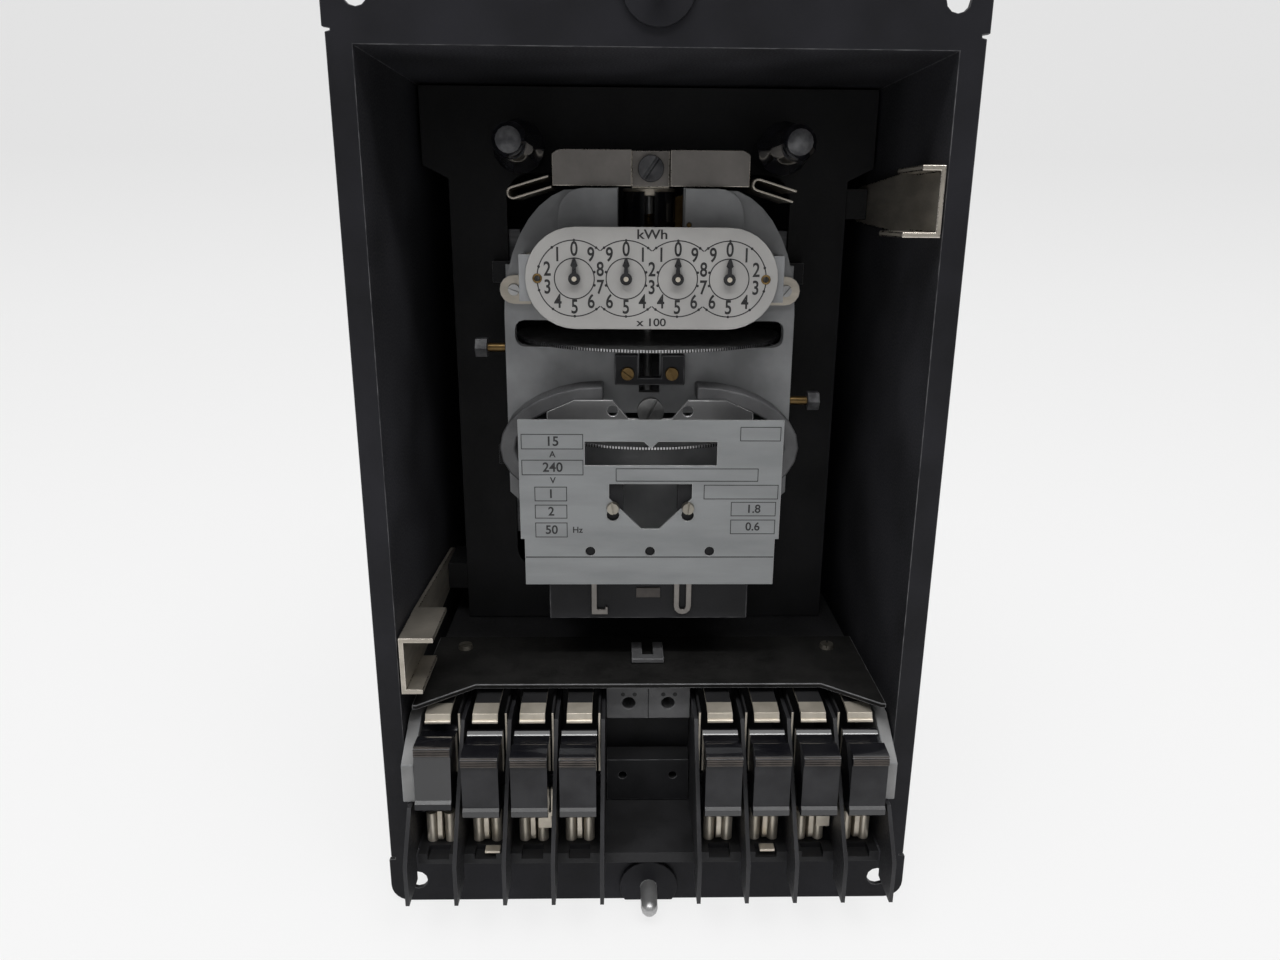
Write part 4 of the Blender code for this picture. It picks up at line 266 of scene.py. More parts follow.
def eased(node, width, paint, edge=None, others=(), zone=None):
    source = nodes[node].data
    mesh = bpy.data.meshes.new(node)
    mesh.from_pydata([v.co for v in source.vertices], [], [p.vertices[:] for p in source.polygons])
    bm = bmesh.new()
    bm.from_mesh(mesh)
    bmesh.ops.remove_doubles(bm, verts=bm.verts, dist=0.002 * MM)
    bmesh.ops.dissolve_limit(bm, angle_limit=math.radians(0.5), verts=bm.verts, edges=bm.edges)
    bm.to_mesh(mesh)
    bm.free()
    for one in (paint, edge or paint, *others):
        mesh.materials.append(one)
    if zone:
        for face in mesh.polygons:
            face.material_index = zone(face.center / MM, face.normal)
    made = held(node + "_eased", rounded(mesh, width, edge_slot=1 if edge else -1), body_of[node])
    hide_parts(node)
    return made


# %% [markdown]
# ## Case, chassis and the two latch arms
# The case is pressed steel under black paint that has rubbed through along its lips. Inside, the walls take
# a paler copy of the paint, as painted light for the light that reaches them. The cover studs are bare steel
# on painted pads, so the face's depth decides between paint and steel. The latch arms are nickel plated
# strip, folded to a channel.

# %% Case and chassis
PAD_FRONT = -3.15
MOUTH_Y = 3.0
PILLAR_TIP_Y = 17.5
FACES_FRONT, SQUARE_ON = -0.6, -0.9


def stud_zone(spot, normal):
    return 2 if spot.y < PAD_FRONT else 0


def inside_zone(spot, normal):
    """Inner faces that take the paler paint as painted light: the walls' look at the middle of the case, and
    the rear wall's looks out of the mouth.
    """
    inward = normal.x * spot.x < -1 or normal.z * spot.z < -1 or normal.y < SQUARE_ON
    return 2 if spot.y > MOUTH_Y and inward else 0


# The front of each pillar's dome takes the lighter grey: partly worn paint, partly painted highlight.
def tip_zone(spot, normal):
    return 2 if spot.y < PILLAR_TIP_Y and normal.y < FACES_FRONT else 0


# The inner faces take the paler paint as painted light, and the lips a rubbed edge.
eased("case_shell", 0.5, case_paint, rubbed_edge_and_highlight, (case_inside_painted_light,), inside_zone)
eased("chassis_frame", 0.25, chassis_paint)
for which in ("upper", "lower"):
    eased(f"cover_stud_{which}", 0.35, case_paint, None, (bright_steel,), stud_zone)
    eased(f"latch_arm_{which}", 0.35, nickel, nickel_edge)
for side in ("left", "right"):
    # Pillar tips: lighter grey as worn paint and painted highlight.
    eased(f"support_pillar_{side}", 0.5, handle_gloss, None, (rubbed_edge_and_highlight,), tip_zone)
    eased(f"spring_clip_{side}", 0.18, nickel, nickel_edge)
print("case, chassis, arms and pillars dressed")

# %% [markdown]
# ## Meter frame and what it carries
# The frame is a grey painted die casting with soft corners, so it gets the widest rounding. Its feet and
# outer sides are painted black, as painted shade where the case shadows the casting. The rotor's shaft is
# steel with a brass worm near its top, found by height. The laminated cores behind get a noise squeezed along
# one axis, which reads as the edges of stacked sheets.

# %% Frame, bearings, rotor, magnets
WORM_LOW, WORM_HIGH = 71.5, 80.5
NUT_START = 52.5
SHIELD_TOP = 85.0
FOOT_Y, FRAME_SIDE = 49.2, 47.2


def worm_zone(spot, normal):
    return 2 if WORM_LOW < spot.z < WORM_HIGH else 0


def side_screw_zone(spot, normal):
    return 2 if abs(spot.x) > NUT_START else 0


# Painted shade: the grey casting's feet and outer sides take black paint where the case shadows them.
def foot_zone(spot, normal):
    return 2 if spot.y > FOOT_Y or abs(spot.x) > FRAME_SIDE else 0


def shield_zone(spot, normal):
    return 2 if spot.z < SHIELD_TOP else 0


# The feet and outer sides in black are painted shade.
eased("meter_frame", 0.9, casting_grey, casting_edge, (chassis_black,), foot_zone)
eased("upper_bearing_bracket", 0.3, strip_nickel, nickel_edge)
eased("upper_bearing_screw", 0.35, rubbed_edge_and_highlight)
eased("upper_bearing_collar", 0.3, contact_nickel, None, (handle_gloss,), shield_zone)
eased("lower_bearing_screw", 0.3, brass)
eased("rotor_shaft", 0.1, bright_steel, None, (brass,), worm_zone)
for which in ("upper", "lower"):
    eased(f"{which}_disc", 0.12, disc_aluminium)
    eased(f"{which}_coil", 0.8, coil_tape)
eased("element_core", 0.3, core_sheets)
for side in ("left", "right"):
    eased(f"brake_magnet_{side}", 0.8, magnet_paint)
    eased(f"side_adjuster_{side}", 0.2, brass, None, (rubbed_edge_and_highlight,), side_screw_zone)
eased("keeper_plate", 0.25, keeper_satin, bright_steel)
eased("keeper_screw", 0.4, dull_steel)
eased("adjuster_block", 0.4, chassis_black, rubbed_edge_and_highlight)
eased("front_block", 0.5, chassis_black, rubbed_edge_and_highlight)
eased("lag_hook", 0.2, strip_nickel)
eased("lag_loop", 0.2, strip_nickel)
print("meter element dressed")

# %% [markdown]
# ## Register and nameplate
# The register is a small grey frame with brass wheels behind a white enamelled dial. A pointer and its
# wheels are one spindle, so everything in front of the dial is black and the rest is brass.

# %% Register train, dial plate and nameplate
DIAL_FRONT, DIAL_Z, DIAL_PITCH = 28.4, 60.3, 15.7
PLATE_FRONT = 18.4
EAR_FRONT, EAR_BACK = 42.3, 43.9
INK_ROOM = 0.1
dial_centres = [(step - 1.5) * DIAL_PITCH for step in range(4)]


def pointer_zone(spot, normal):
    return 2 if spot.y < DIAL_FRONT - INK_ROOM else 0


def ear_zone(spot, normal):
    return 2 if EAR_FRONT < spot.y < EAR_BACK else 0


for number in range(1, 5):
    eased(f"dial_arbor_{number}", 0.08, brass, None, (pointer_black,), pointer_zone)
eased("idler_arbor", 0.05, brass)
eased("worm_wheel", 0.05, brass)
eased("register_frame", 0.3, casting_grey, casting_edge, (nickel,), ear_zone)
eased("dial_plate", 0.12, dial_enamel)
eased("nameplate", 0.12, plate_satin, bright_steel)
eased("nameplate_carrier", 0.2, chassis_black)
print("register and nameplate dressed")

# %% [markdown]
# ## Switch row
# Eight knife switches stand side by side between thin barriers. The base is one black moulding with nickel
# posts, jaws and leaves set in it. They are one solid in the source, so a zone function picks the metal out
# by its place beside each pole. The handles are the same: a metal blade, a glossy crown and a satin front
# face.

# %% Base, barriers and shelf
POLES = sorted(side * 14.9 * (step + 1.5) for side in (-1, 1) for step in range(4))
HINGE_Y, HINGE_Z = -1.6, -112.5
POST_OFFSET, POST_REACH, POST_FOOT = 2.9, 1.65, -115.5
TAB_HALF, TAB_LOW, TAB_BACK = 4.1, -77.6, 14
LEAF_NEAR, LEAF_FAR, LEAF_LOW, LEAF_HIGH, LEAF_BACK = 5.6, 6.9, -95.2, -73.5, 10


def base_zone(spot, normal):
    for pole in POLES:
        off = spot.x - pole
        inward = -math.copysign(off, pole * off) if off else 0.0
        tab = abs(off) < TAB_HALF and spot.z > TAB_LOW and spot.y < TAB_BACK
        leaf = LEAF_NEAR < inward < LEAF_FAR and LEAF_LOW < spot.z < LEAF_HIGH and spot.y < LEAF_BACK
        post = math.hypot(abs(off) - POST_OFFSET, spot.y - HINGE_Y) < POST_REACH and spot.z > POST_FOOT
        if tab or leaf or post:
            return 2
    return 0


STUDS = [(x, z) for x in (-45, -15, 15, 45) for z in (-96, -70)]
NUT_REACH, BLOCK_FRONT, BLOCK_BACK = 6.0, 151, 161


def terminal_zone(spot, normal):
    stud = min(math.hypot(spot.x - x, spot.z - z) for x, z in STUDS)
    return 2 if stud < NUT_REACH and not BLOCK_FRONT <= spot.y <= BLOCK_BACK else 0


eased("switch_base", 0.25, moulded_black, None, (contact_nickel,), base_zone)
# Fins, shelf, clip and contact block take the light grey edge as painted highlight.
eased("barrier_fins", 0.3, fin_black, moulded_edge_highlight)
eased("barrier_shelf", 0.3, fibre_sheet, moulded_edge_highlight)
eased("shelf_clip", 0.3, grey_moulding, moulded_edge_highlight)
eased("contact_block", 0.3, grey_moulding, moulded_edge_highlight)
eased("lower_contact_block", 0.3, moulded_black, rubbed_edge_and_highlight)
eased("terminal_block", 0.4, moulded_black, None, (bright_steel,), terminal_zone)
for side in ("left", "right"):
    eased(f"end_cheek_{side}", 0.35, cheek_grey, casting_edge)
print("switch row dressed")


# %% Switch blades and handles
HANDLE_LOW, BLADE_HALF = -99.9, 1.0
FACE_TILT, FACE_Y, FACE_LOW, FACE_HIGH = -0.85, -11.5, -97, -80


def handle_zone(spot, normal):
    pole = min(POLES, key=lambda place: abs(spot.x - place))
    blade = spot.z < HANDLE_LOW or abs(spot.x - pole) < BLADE_HALF and abs(normal.x) > -SQUARE_ON
    face = normal.y < FACE_TILT and spot.y < FACE_Y and FACE_LOW < spot.z < FACE_HIGH
    return 2 if blade else 3 if face else 0


for number in range(1, 9):
    eased(f"switch_{number}", 0.35, handle_gloss, None, (contact_nickel, handle_satin),
          handle_zone)
print("eight switches dressed")

# %% [markdown]
# ## Small things that repeat
# Screw heads, grip ribs, printed dots and rim marks are all one shape on many places. Copying meshes in a
# loop would do, but a Geometry Nodes tree keeps the shape and its sizes in one spot: the places go in as
# points, each with its own turn, and the tree sets a copy on every point, makes the copies real and paints
# them.

# %% A tree that sets copies on places
def new_tree(name, sizes):
    tree = bpy.data.node_groups.new(name, "GeometryNodeTree")
    tree.interface.new_socket("Places", in_out="INPUT", socket_type="NodeSocketGeometry")
    tree.interface.new_socket("Pieces", in_out="OUTPUT", socket_type="NodeSocketGeometry")
    for label in sizes:
        tree.interface.new_socket(label, in_out="INPUT", socket_type="NodeSocketFloat")
    return tree, tree.nodes.new("NodeGroupInput")


def set_on_places(tree, start, shape, paint):
    turn = tree.nodes.new("GeometryNodeInputNamedAttribute")
    turn.data_type = "FLOAT_VECTOR"
    turn.inputs["Name"].default_value = "turn"
    spin = tree.nodes.new("FunctionNodeEulerToRotation")
    copies = tree.nodes.new("GeometryNodeInstanceOnPoints")
    real = tree.nodes.new("GeometryNodeRealizeInstances")
    coat = tree.nodes.new("GeometryNodeSetMaterial")
    coat.inputs["Material"].default_value = paint
    end = tree.nodes.new("NodeGroupOutput")
    tree.links.new(turn.outputs["Attribute"], spin.inputs["Euler"])
    tree.links.new(start.outputs["Places"], copies.inputs["Points"])
    tree.links.new(shape, copies.inputs["Instance"])
    tree.links.new(spin.outputs["Rotation"], copies.inputs["Rotation"])
    tree.links.new(copies.outputs["Instances"], real.inputs["Geometry"])
    tree.links.new(real.outputs["Geometry"], coat.inputs["Geometry"])
    tree.links.new(coat.outputs["Geometry"], end.inputs["Pieces"])


def grown(name, tree, sizes, places, turns, body):
    """Run a tree on a list of places in millimetres and keep the plain mesh."""
    mesh = bpy.data.meshes.new(name)
    mesh.from_pydata([Vector(place) * MM for place in places], [], [])
    turn = mesh.attributes.new("turn", "FLOAT_VECTOR", "POINT")
    for spot, value in zip(turn.data, turns):
        spot.vector = value
    rough = bpy.data.objects.new(name, mesh)
    bpy.context.scene.collection.objects.link(rough)
    grow = rough.modifiers.new("grow", "NODES")
    grow.node_group = tree
    for socket in tree.interface.items_tree:
        if socket.in_out == "INPUT" and socket.name in sizes:
            grow[socket.identifier] = sizes[socket.name] * MM
    plain = baked(rough)
    plain.shade_smooth()
    plain.set_sharp_from_angle(angle=math.radians(35))
    print(name, "has", len(places), "copies,", len(plain.polygons), "faces")
    return held(name, plain, body)


# %% [markdown]
# ### Rods
# Ribs, beads, sleeves, printed dots, dark dots of painted shade for pin holes and pin ends are all short
# cylinders, so they share one tree with a radius and a length. Only the number of sides and the finish
# differ, and these are fixed when a tree is built.

# %% A tree for short cylinders
LIE_ACROSS = (0, math.pi / 2, 0)
FACE_FRONT = math.pi / 2


def rod_tree(name, sides, paint):
    tree, start = new_tree(name, ("Radius", "Length"))
    rod = tree.nodes.new("GeometryNodeMeshCylinder")
    rod.inputs["Vertices"].default_value = sides
    tree.links.new(start.outputs["Radius"], rod.inputs["Radius"])
    tree.links.new(start.outputs["Length"], rod.inputs["Depth"])
    set_on_places(tree, start, rod.outputs["Mesh"], paint)
    return tree


def rods(name, tree, radius, length, places, turn, body):
    return grown(name, tree, {"Radius": radius, "Length": length}, places, [turn] * len(places), body)


rib_tree = rod_tree("grip_rib", 10, grip_brown)
bead_tree = rod_tree("jaw_bead", 14, contact_nickel)
# Dots print the dial and paint shade for the contact block's pin holes.
dot_tree = rod_tree("dot_print_and_hole_shade", 10, ink_and_hole_shade)
pin_tree = rod_tree("pointer_pin", 16, contact_nickel)
print("four rod trees")

# %% [markdown]
# ### Screw heads
# A cheese-head screw is a low cone frustum with a slot sawn across it. A Mesh Boolean node saws the slot,
# so the head stays one closed shape. The same tree is built once per metal, because Set Material holds the
# finish.

# %% Slotted screw heads
SCREW_SIZES = ("Head radius", "Top radius", "Head height", "Slot width", "Slot depth")
TOP_SHARE, SLOT_WIDTH, SLOT_SHARE = 0.88, 0.55, 0.55
SAW_PAST_RIM = 2.2


def screw_tree(name, paint):
    tree, start = new_tree(name, SCREW_SIZES)
    head = tree.nodes.new("GeometryNodeMeshCone")
    head.inputs["Vertices"].default_value = 28
    saw = tree.nodes.new("GeometryNodeMeshCube")
    size = tree.nodes.new("ShaderNodeCombineXYZ")
    lift = tree.nodes.new("GeometryNodeTransform")
    raise_to = tree.nodes.new("ShaderNodeCombineXYZ")
    length, deep = (tree.nodes.new("ShaderNodeMath") for _ in range(2))
    for double, label in ((length, "Head radius"), (deep, "Slot depth")):
        double.operation = "MULTIPLY"
        double.inputs[1].default_value = SAW_PAST_RIM if double is length else 2.0
        tree.links.new(start.outputs[label], double.inputs[0])
    tree.links.new(start.outputs["Head radius"], head.inputs["Radius Bottom"])
    tree.links.new(start.outputs["Top radius"], head.inputs["Radius Top"])
    tree.links.new(start.outputs["Head height"], head.inputs["Depth"])
    tree.links.new(length.outputs[0], size.inputs["X"])
    tree.links.new(start.outputs["Slot width"], size.inputs["Y"])
    tree.links.new(deep.outputs[0], size.inputs["Z"])
    tree.links.new(size.outputs[0], saw.inputs["Size"])
    tree.links.new(start.outputs["Head height"], raise_to.inputs["Z"])
    tree.links.new(saw.outputs["Mesh"], lift.inputs["Geometry"])
    tree.links.new(raise_to.outputs[0], lift.inputs["Translation"])
    cut = tree.nodes.new("GeometryNodeMeshBoolean")
    cut.operation = "DIFFERENCE"
    tree.links.new(head.outputs["Mesh"], cut.inputs["Mesh 1"])
    tree.links.new(lift.outputs["Geometry"], cut.inputs["Mesh 2"])
    set_on_places(tree, start, cut.outputs["Mesh"], paint)
    return tree


def screws(name, tree, radius, height, places, slots, facing=FACE_FRONT):
    sizes = dict(zip(SCREW_SIZES, (radius, radius * TOP_SHARE, height, SLOT_WIDTH, height * SLOT_SHARE)))
    turns = [(facing, math.radians(a), 0) if facing else (0, 0, math.radians(a)) for a in slots]
    return grown(name, tree, sizes, places, turns, "housing")


steel_screw, brass_screw, nickel_screw = (screw_tree(*kind) for kind in (
    ("steel_screw", bright_steel), ("brass_screw", brass), ("nickel_screw", soft_nickel)))


def pair(x, y, z):
    return [(-x, y, z), (x, y, z)]


screws("nameplate_screws", nickel_screw, 2.05, 1.6, pair(11.8, 18.5, -9.6), (82, 95))
screws("register_screws", steel_screw, 2.0, 1.2, pair(43.5, 42.6, 55.8), (20, 130))
screws("adjuster_screws", brass_screw, 2.3, 1.4, pair(7.2, 39.8, 29.4), (35, 65))
screws("shelf_screws", nickel_screw, 2.6, 1.5, pair(64, 39.4, -68.5), (20, 75), 0)

# %% [markdown]
# ### Grip ribs, jaw beads and hinge sleeves
# Each handle has fine ribs under its top edge for a fingertip, and they move with their own switch, so they
# are grown once per switch. The first handle is pushed further home, so its ribs are turned about the hinge
# with it. The jaws are rolled over at the front, which leaves a bead, and a sleeve stands on each hinge
# post.

# %% Ribs on the handles, beads and sleeves on the base
RIB_SPOTS = ((-13.5, -79.0), (-13.95, -79.75), (-13.95, -80.5), (-13.95, -81.25))
HOME_TURN = math.radians(-7)
for number, pole in enumerate(POLES, 1):
    turn = HOME_TURN if number == 1 else 0.0
    spots = []
    for y, z in RIB_SPOTS:
        dy, dz = y - HINGE_Y, z - HINGE_Z
        spots.append((pole, HINGE_Y + dy * math.cos(turn) - dz * math.sin(turn),
                      HINGE_Z + dy * math.sin(turn) + dz * math.cos(turn)))
    rods(f"grip_ribs_{number}", rib_tree, 0.33, 10.9, spots, LIE_ACROSS, f"switch_{number}")

BEAD_Y, BEAD_Z, SLEEVE_Z = 1.7, -75.3, -110.7
beads = [(pole, BEAD_Y, BEAD_Z) for pole in POLES]
sleeves = [(pole + side * POST_OFFSET, HINGE_Y, SLEEVE_Z) for pole in POLES for side in (-1, 1)]
rods("jaw_beads", bead_tree, 0.65, 8.0, beads, LIE_ACROSS, "housing")
rods("hinge_sleeves", bead_tree, 1.82, 10.4, sleeves, (0, 0, 0), "housing")

# %% [markdown]
# ### Marks on the discs
# Each disc's rim is cut with fine marks all round, by which a tester times a turn. They ride on the rotor.

# %% Rim marks
mark_tree, start = new_tree("rim_mark", ("Mark depth", "Mark width", "Mark height"))
notch = mark_tree.nodes.new("GeometryNodeMeshCube")
size = mark_tree.nodes.new("ShaderNodeCombineXYZ")
for axis, label in zip("XYZ", ("Mark depth", "Mark width", "Mark height")):
    mark_tree.links.new(start.outputs[label], size.inputs[axis])
mark_tree.links.new(size.outputs[0], notch.inputs["Size"])
set_on_places(mark_tree, start, notch.outputs["Mesh"], pointer_black)

SHAFT_Y, DISC_RADIUS, MARKS = 68.4, 45.5, 300
UPPER_DISC_Z, LOWER_DISC_Z = 39.0, 8.5
angles = [math.tau * step / MARKS for step in range(MARKS)]
for name, z in (("upper_rim_marks", UPPER_DISC_Z), ("lower_rim_marks", LOWER_DISC_Z)):
    grown(name, mark_tree, {"Mark depth": 0.5, "Mark width": 0.38, "Mark height": 1.0},
          [(DISC_RADIUS * math.cos(a), SHAFT_Y + DISC_RADIUS * math.sin(a), z) for a in angles],
          [(0, 0, a) for a in angles], "rotor")

# %% [markdown]
# ### Straps, bars and a tally plate
# Two poles carry a short folded strap that ties a post to the leaf beside it, two pockets hold a flat bar,
# and a small brown tally sits on the block under the nameplate. They are strips cut from sheet, so each is
# a thin box with eased edges. They stay clear of the handles' way.

# %% Strips cut from sheet
def strips(name, boxes, paint):
    bm = bmesh.new()
    for low, high in boxes:
        low, high = Vector(low) * MM, Vector(high) * MM
        place = Matrix.Translation((low + high) / 2) @ Matrix.Diagonal((*(high - low), 1))
        bmesh.ops.create_cube(bm, size=1, matrix=place)
    mesh = bpy.data.meshes.new(name)
    bm.to_mesh(mesh)
    bm.free()
    mesh.materials.append(paint)
    print(name, len(boxes), "strips")
    return held(name, rounded(mesh, 0.15), "housing")


STRAP_BACK, STRAP_FRONT = -2.8, -4.2
BARS = (-52.3, 35.2)
straps = []
for pole in (POLES[2], POLES[6]):
    straps.append(((pole + 1.6, STRAP_FRONT, -110.3), (pole + 6.0, STRAP_BACK, -104.5)))
    straps.append(((pole + 5.8, STRAP_FRONT, -106.0), (pole + 6.6, STRAP_BACK, -96.0)))
strips("pole_straps", straps, contact_nickel)
strips("pocket_bars", [((x, -9.0, -116.0), (x + 4.8, -6.0, -115.2)) for x in BARS], contact_nickel)
strips("block_tally", [((-4.2, 25.5, -43.2), (3.8, 26.1, -39.7))], grip_brown)

# %% [markdown]
# ## Printing on the dial and the nameplate
# Each dial is two circles with ten figures between them. Neighbouring dials turn opposite ways, as the
# wheels behind them do, so their figures run opposite ways too. The outer circles are cut off where two
# dials meet. Printed lines are thin tubes pressed nearly flat, and figures are text made into meshes, so
# that the printing is real geometry. The plate has ruled boxes with a few plain ratings.

# %% Helpers for lines and figures
LINE, PRESS, INK_SPREAD = 0.19, 0.3, 0.018


def pressed(mesh, front):
    """Flatten printing onto the plane that it is printed on."""
    mesh.transform(Matrix.Translation((0, front * MM, 0)) @ Matrix.Diagonal((1, PRESS, 1, 1)))


def ruled(paths, front, half_width=LINE):
    """Lines through points (x, z), printed on the plane at a depth; a path is (points, closed)."""
    curve = bpy.data.curves.new("ruling", "CURVE")
    curve.dimensions = "3D"
    curve.bevel_depth = half_width * MM
    curve.bevel_resolution = 1
    curve.use_fill_caps = True
    for points, closed in paths:
        spline = curve.splines.new("POLY")
        spline.points.add(len(points) - 1)
        for spot, (x, z) in zip(spline.points, points):
            spot.co = (x * MM, 0, z * MM, 1)
        spline.use_cyclic_u = closed
    rough = bpy.data.objects.new("ruling", curve)
    bpy.context.scene.collection.objects.link(rough)
    mesh = baked(rough)
    pressed(mesh, front)
    return mesh


def lettered(words, front):
    """Text set on a plane: each word is (text, x, z, size, width)."""
    bm = bmesh.new()
    for text, x, z, size, width in words:
        curve = bpy.data.curves.new("figure", "FONT")
        curve.body, curve.size = text, size * MM
        curve.align_x, curve.align_y = "CENTER", "CENTER"
        curve.extrude = 0.02 * MM
        curve.offset = INK_SPREAD * size * MM
        rough = bpy.data.objects.new("figure", curve)
        bpy.context.scene.collection.objects.link(rough)
        mesh = baked(rough)
        mesh.transform(Matrix.Translation((x * MM, front * MM, z * MM))
                       @ Matrix.Rotation(math.pi / 2, 4, "X") @ Matrix.Diagonal((width, 1, 1, 1)))
        bm.from_mesh(mesh)
        bpy.data.meshes.remove(mesh)
    mesh = bpy.data.meshes.new("figures")
    bm.to_mesh(mesh)
    bm.free()
    return mesh


def printed(name, mesh, body="housing"):
    mesh.materials.clear()
    mesh.materials.append(ink_and_hole_shade)
    print(name, len(mesh.polygons), "faces")
    return held(name, mesh, body)


# %% The four dials
OUTER, INNER, FIGURES, FIGURE_SIZE, FIGURE_WIDTH = 11.3, 6.05, 8.6, 5.9, 0.78
CIRCLE_STEPS, HALF_STEPS, DOT_HEIGHT = 64, 96, 0.08
SIDEWAYS, RING_ROOM = 0.9, 0.35
lines, figures, dots = [], [], []
for index, x in enumerate(dial_centres):
    way = 1 if index % 2 else -1
    lines.append(([(x + INNER * math.cos(a), DIAL_Z + INNER * math.sin(a))
                   for a in (math.tau * s / CIRCLE_STEPS for s in range(CIRCLE_STEPS))], True))
    left, right = index > 0, index < 3
    arcs, run = [], []
    for step in range(-HALF_STEPS, HALF_STEPS + 1):
        a = math.pi / 2 + math.pi * step / HALF_STEPS
        dx, dz = OUTER * math.cos(a), OUTER * math.sin(a)
        hidden = (left and dx < -DIAL_PITCH / 2) or (right and dx > DIAL_PITCH / 2)
        if not hidden:
            run.append((x + dx, DIAL_Z + dz))
        elif run:
            arcs.append(run)
            run = []
    arcs += [run] if run else []
    lines += [(arc, False) for arc in arcs if len(arc) > 1]
    for digit in range(10):
        a = math.pi / 2 - way * math.tau * digit / 10
        dx, dz = math.cos(a), math.sin(a)
        shared = (left and dx < -SIDEWAYS) or (right and dx > SIDEWAYS)
        if not (left and shared and dx < 0):
            reach = DIAL_PITCH / 2 if shared else FIGURES * abs(dx)
            figures.append((str(digit), x + math.copysign(reach, dx) if abs(dx) > 0.01 else x,
                            DIAL_Z + FIGURES * dz, FIGURE_SIZE, FIGURE_WIDTH))
        ring = INNER + RING_ROOM if shared else OUTER
        dots.append((x + ring * dx, DIAL_FRONT, DIAL_Z + ring * dz))
figures += [("kWh", 0, DIAL_Z + 13.0, 3.9, 1.2), ("x 100", 0, DIAL_Z - 13.2, 3.3, 1.2)]
printed("dial_lines", ruled(lines, DIAL_FRONT))
printed("dial_figures", lettered(figures, DIAL_FRONT))

rods("dial_dots", dot_tree, 0.42, DOT_HEIGHT, dots, (FACE_FRONT, 0, 0), "housing")

# %% [markdown]
# ### Contact block and pointer ends
# The contact block is two mouldings side by side, with a dark seam between them and small pin holes near
# its top. Thin dark shapes on its face read as both from this distance, and leave the solid whole: the seam
# is a dark joint, and the dots are painted shade for the holes, which are not cut. Each pointer is riveted
# on a pin, whose bright end shows in the middle of the dial, so it rides on that dial's own spindle.

# %% Seam and painted shade for the pin holes on the contact block
CONTACT_FRONT, PIN_HOLES, PIN_HOLE_Z = 18.0, (-8.5, -4.6, 5.0, 8.9), -75.0
SEAM = [(0, -83.8), (0, -72.8)]
printed("contact_seam", ruled([(SEAM, False)], CONTACT_FRONT, 0.16))
# Dark dots where the pin holes are: painted shade, with no hole cut.
rods("contact_pin_hole_shade", dot_tree, 0.75, DOT_HEIGHT, [(x, CONTACT_FRONT, PIN_HOLE_Z) for x in PIN_HOLES],
     (FACE_FRONT, 0, 0), "housing")

# %% Bright pin ends on the pointers
hub_front = min(v.co.y for v in nodes["dial_arbor_1"].data.vertices) / MM
for number, x in enumerate(dial_centres, 1):
    rods(f"pointer_pin_{number}", pin_tree, 0.75, 0.3, [(x, hub_front, DIAL_Z)], (FACE_FRONT, 0, 0),
         f"dial_{number}")

# %% [markdown]
# ### Eyelets
# Two brass eyelets hold the dial on its posts. An eyelet is a ring with a round section, so the tree sweeps a
# small circle round a larger one.

# %% Eyelets on the dial
EYELET_X = 34.8
ring_tree, start = new_tree("eyelet", ("Ring radius", "Wire radius"))
path, section = (ring_tree.nodes.new("GeometryNodeCurvePrimitiveCircle") for _ in range(2))
path.inputs["Resolution"].default_value, section.inputs["Resolution"].default_value = 24, 8
sweep_ring = ring_tree.nodes.new("GeometryNodeCurveToMesh")
ring_tree.links.new(start.outputs["Ring radius"], path.inputs["Radius"])
ring_tree.links.new(start.outputs["Wire radius"], section.inputs["Radius"])
ring_tree.links.new(path.outputs["Curve"], sweep_ring.inputs["Curve"])
ring_tree.links.new(section.outputs["Curve"], sweep_ring.inputs["Profile Curve"])
set_on_places(ring_tree, start, sweep_ring.outputs["Mesh"], brass)
eyelets = [(side * EYELET_X, DIAL_FRONT, DIAL_Z) for side in (-1, 1)]
grown("dial_eyelets", ring_tree, {"Ring radius": 1.15, "Wire radius": 0.34}, eyelets,
      [(FACE_FRONT, 0, 0)] * len(eyelets), "housing")

# %% [markdown]
# ### Nameplate
# A nameplate is etched: ruled boxes stay, and each meter's ratings are stamped in them. The ratings here
# are plain numbers with their units, and a few boxes stay empty. A box is written as its left, top, right
# and bottom.

# %% Boxes and ratings on the nameplate
FOLD_LINE = [(-39.6, -26.1), (39.6, -26.1)]
BOXES = ((-40.0, 14.1, -21.1, 9.5), (-40.0, 5.9, -21.1, 1.2), (-36.2, -2.8, -26.3, -7.3),
         (-36.2, -8.7, -26.3, -13.0), (-36.2, -14.6, -26.3, -19.3), (27.6, 16.5, 40.0, 12.2),
         (16.8, -2.1, 40.0, -6.6), (25.5, -7.7, 39.5, -12.2), (25.5, -13.6, 39.5, -18.2),
         (-10.8, 3.2, 33.5, -0.8))
plate_lines = [([(x0, z0), (x1, z0), (x1, z1), (x0, z1)], True) for x0, z0, x1, z1 in BOXES]
plate_lines.append((FOLD_LINE, False))
printed("plate_lines", ruled(plate_lines, PLATE_FRONT))
RATINGS = (("15", -30.5, 11.8, 4.2, 1.0), ("A", -30.5, 7.7, 2.8, 1.0), ("240", -30.5, 3.5, 4.2, 1.0),
           ("V", -30.5, -0.7, 2.8, 1.0), ("1", -31.2, -5.1, 4.0, 1.0), ("2", -31.2, -10.9, 4.0, 1.0),
           ("50", -31.2, -17.0, 4.0, 1.0), ("Hz", -23.0, -17.0, 2.8, 1.0), ("1.8", 32.5, -10.0, 3.8, 1.0),
           ("0.6", 32.5, -15.9, 3.8, 1.0))
printed("plate_ratings", lettered(RATINGS, PLATE_FRONT))

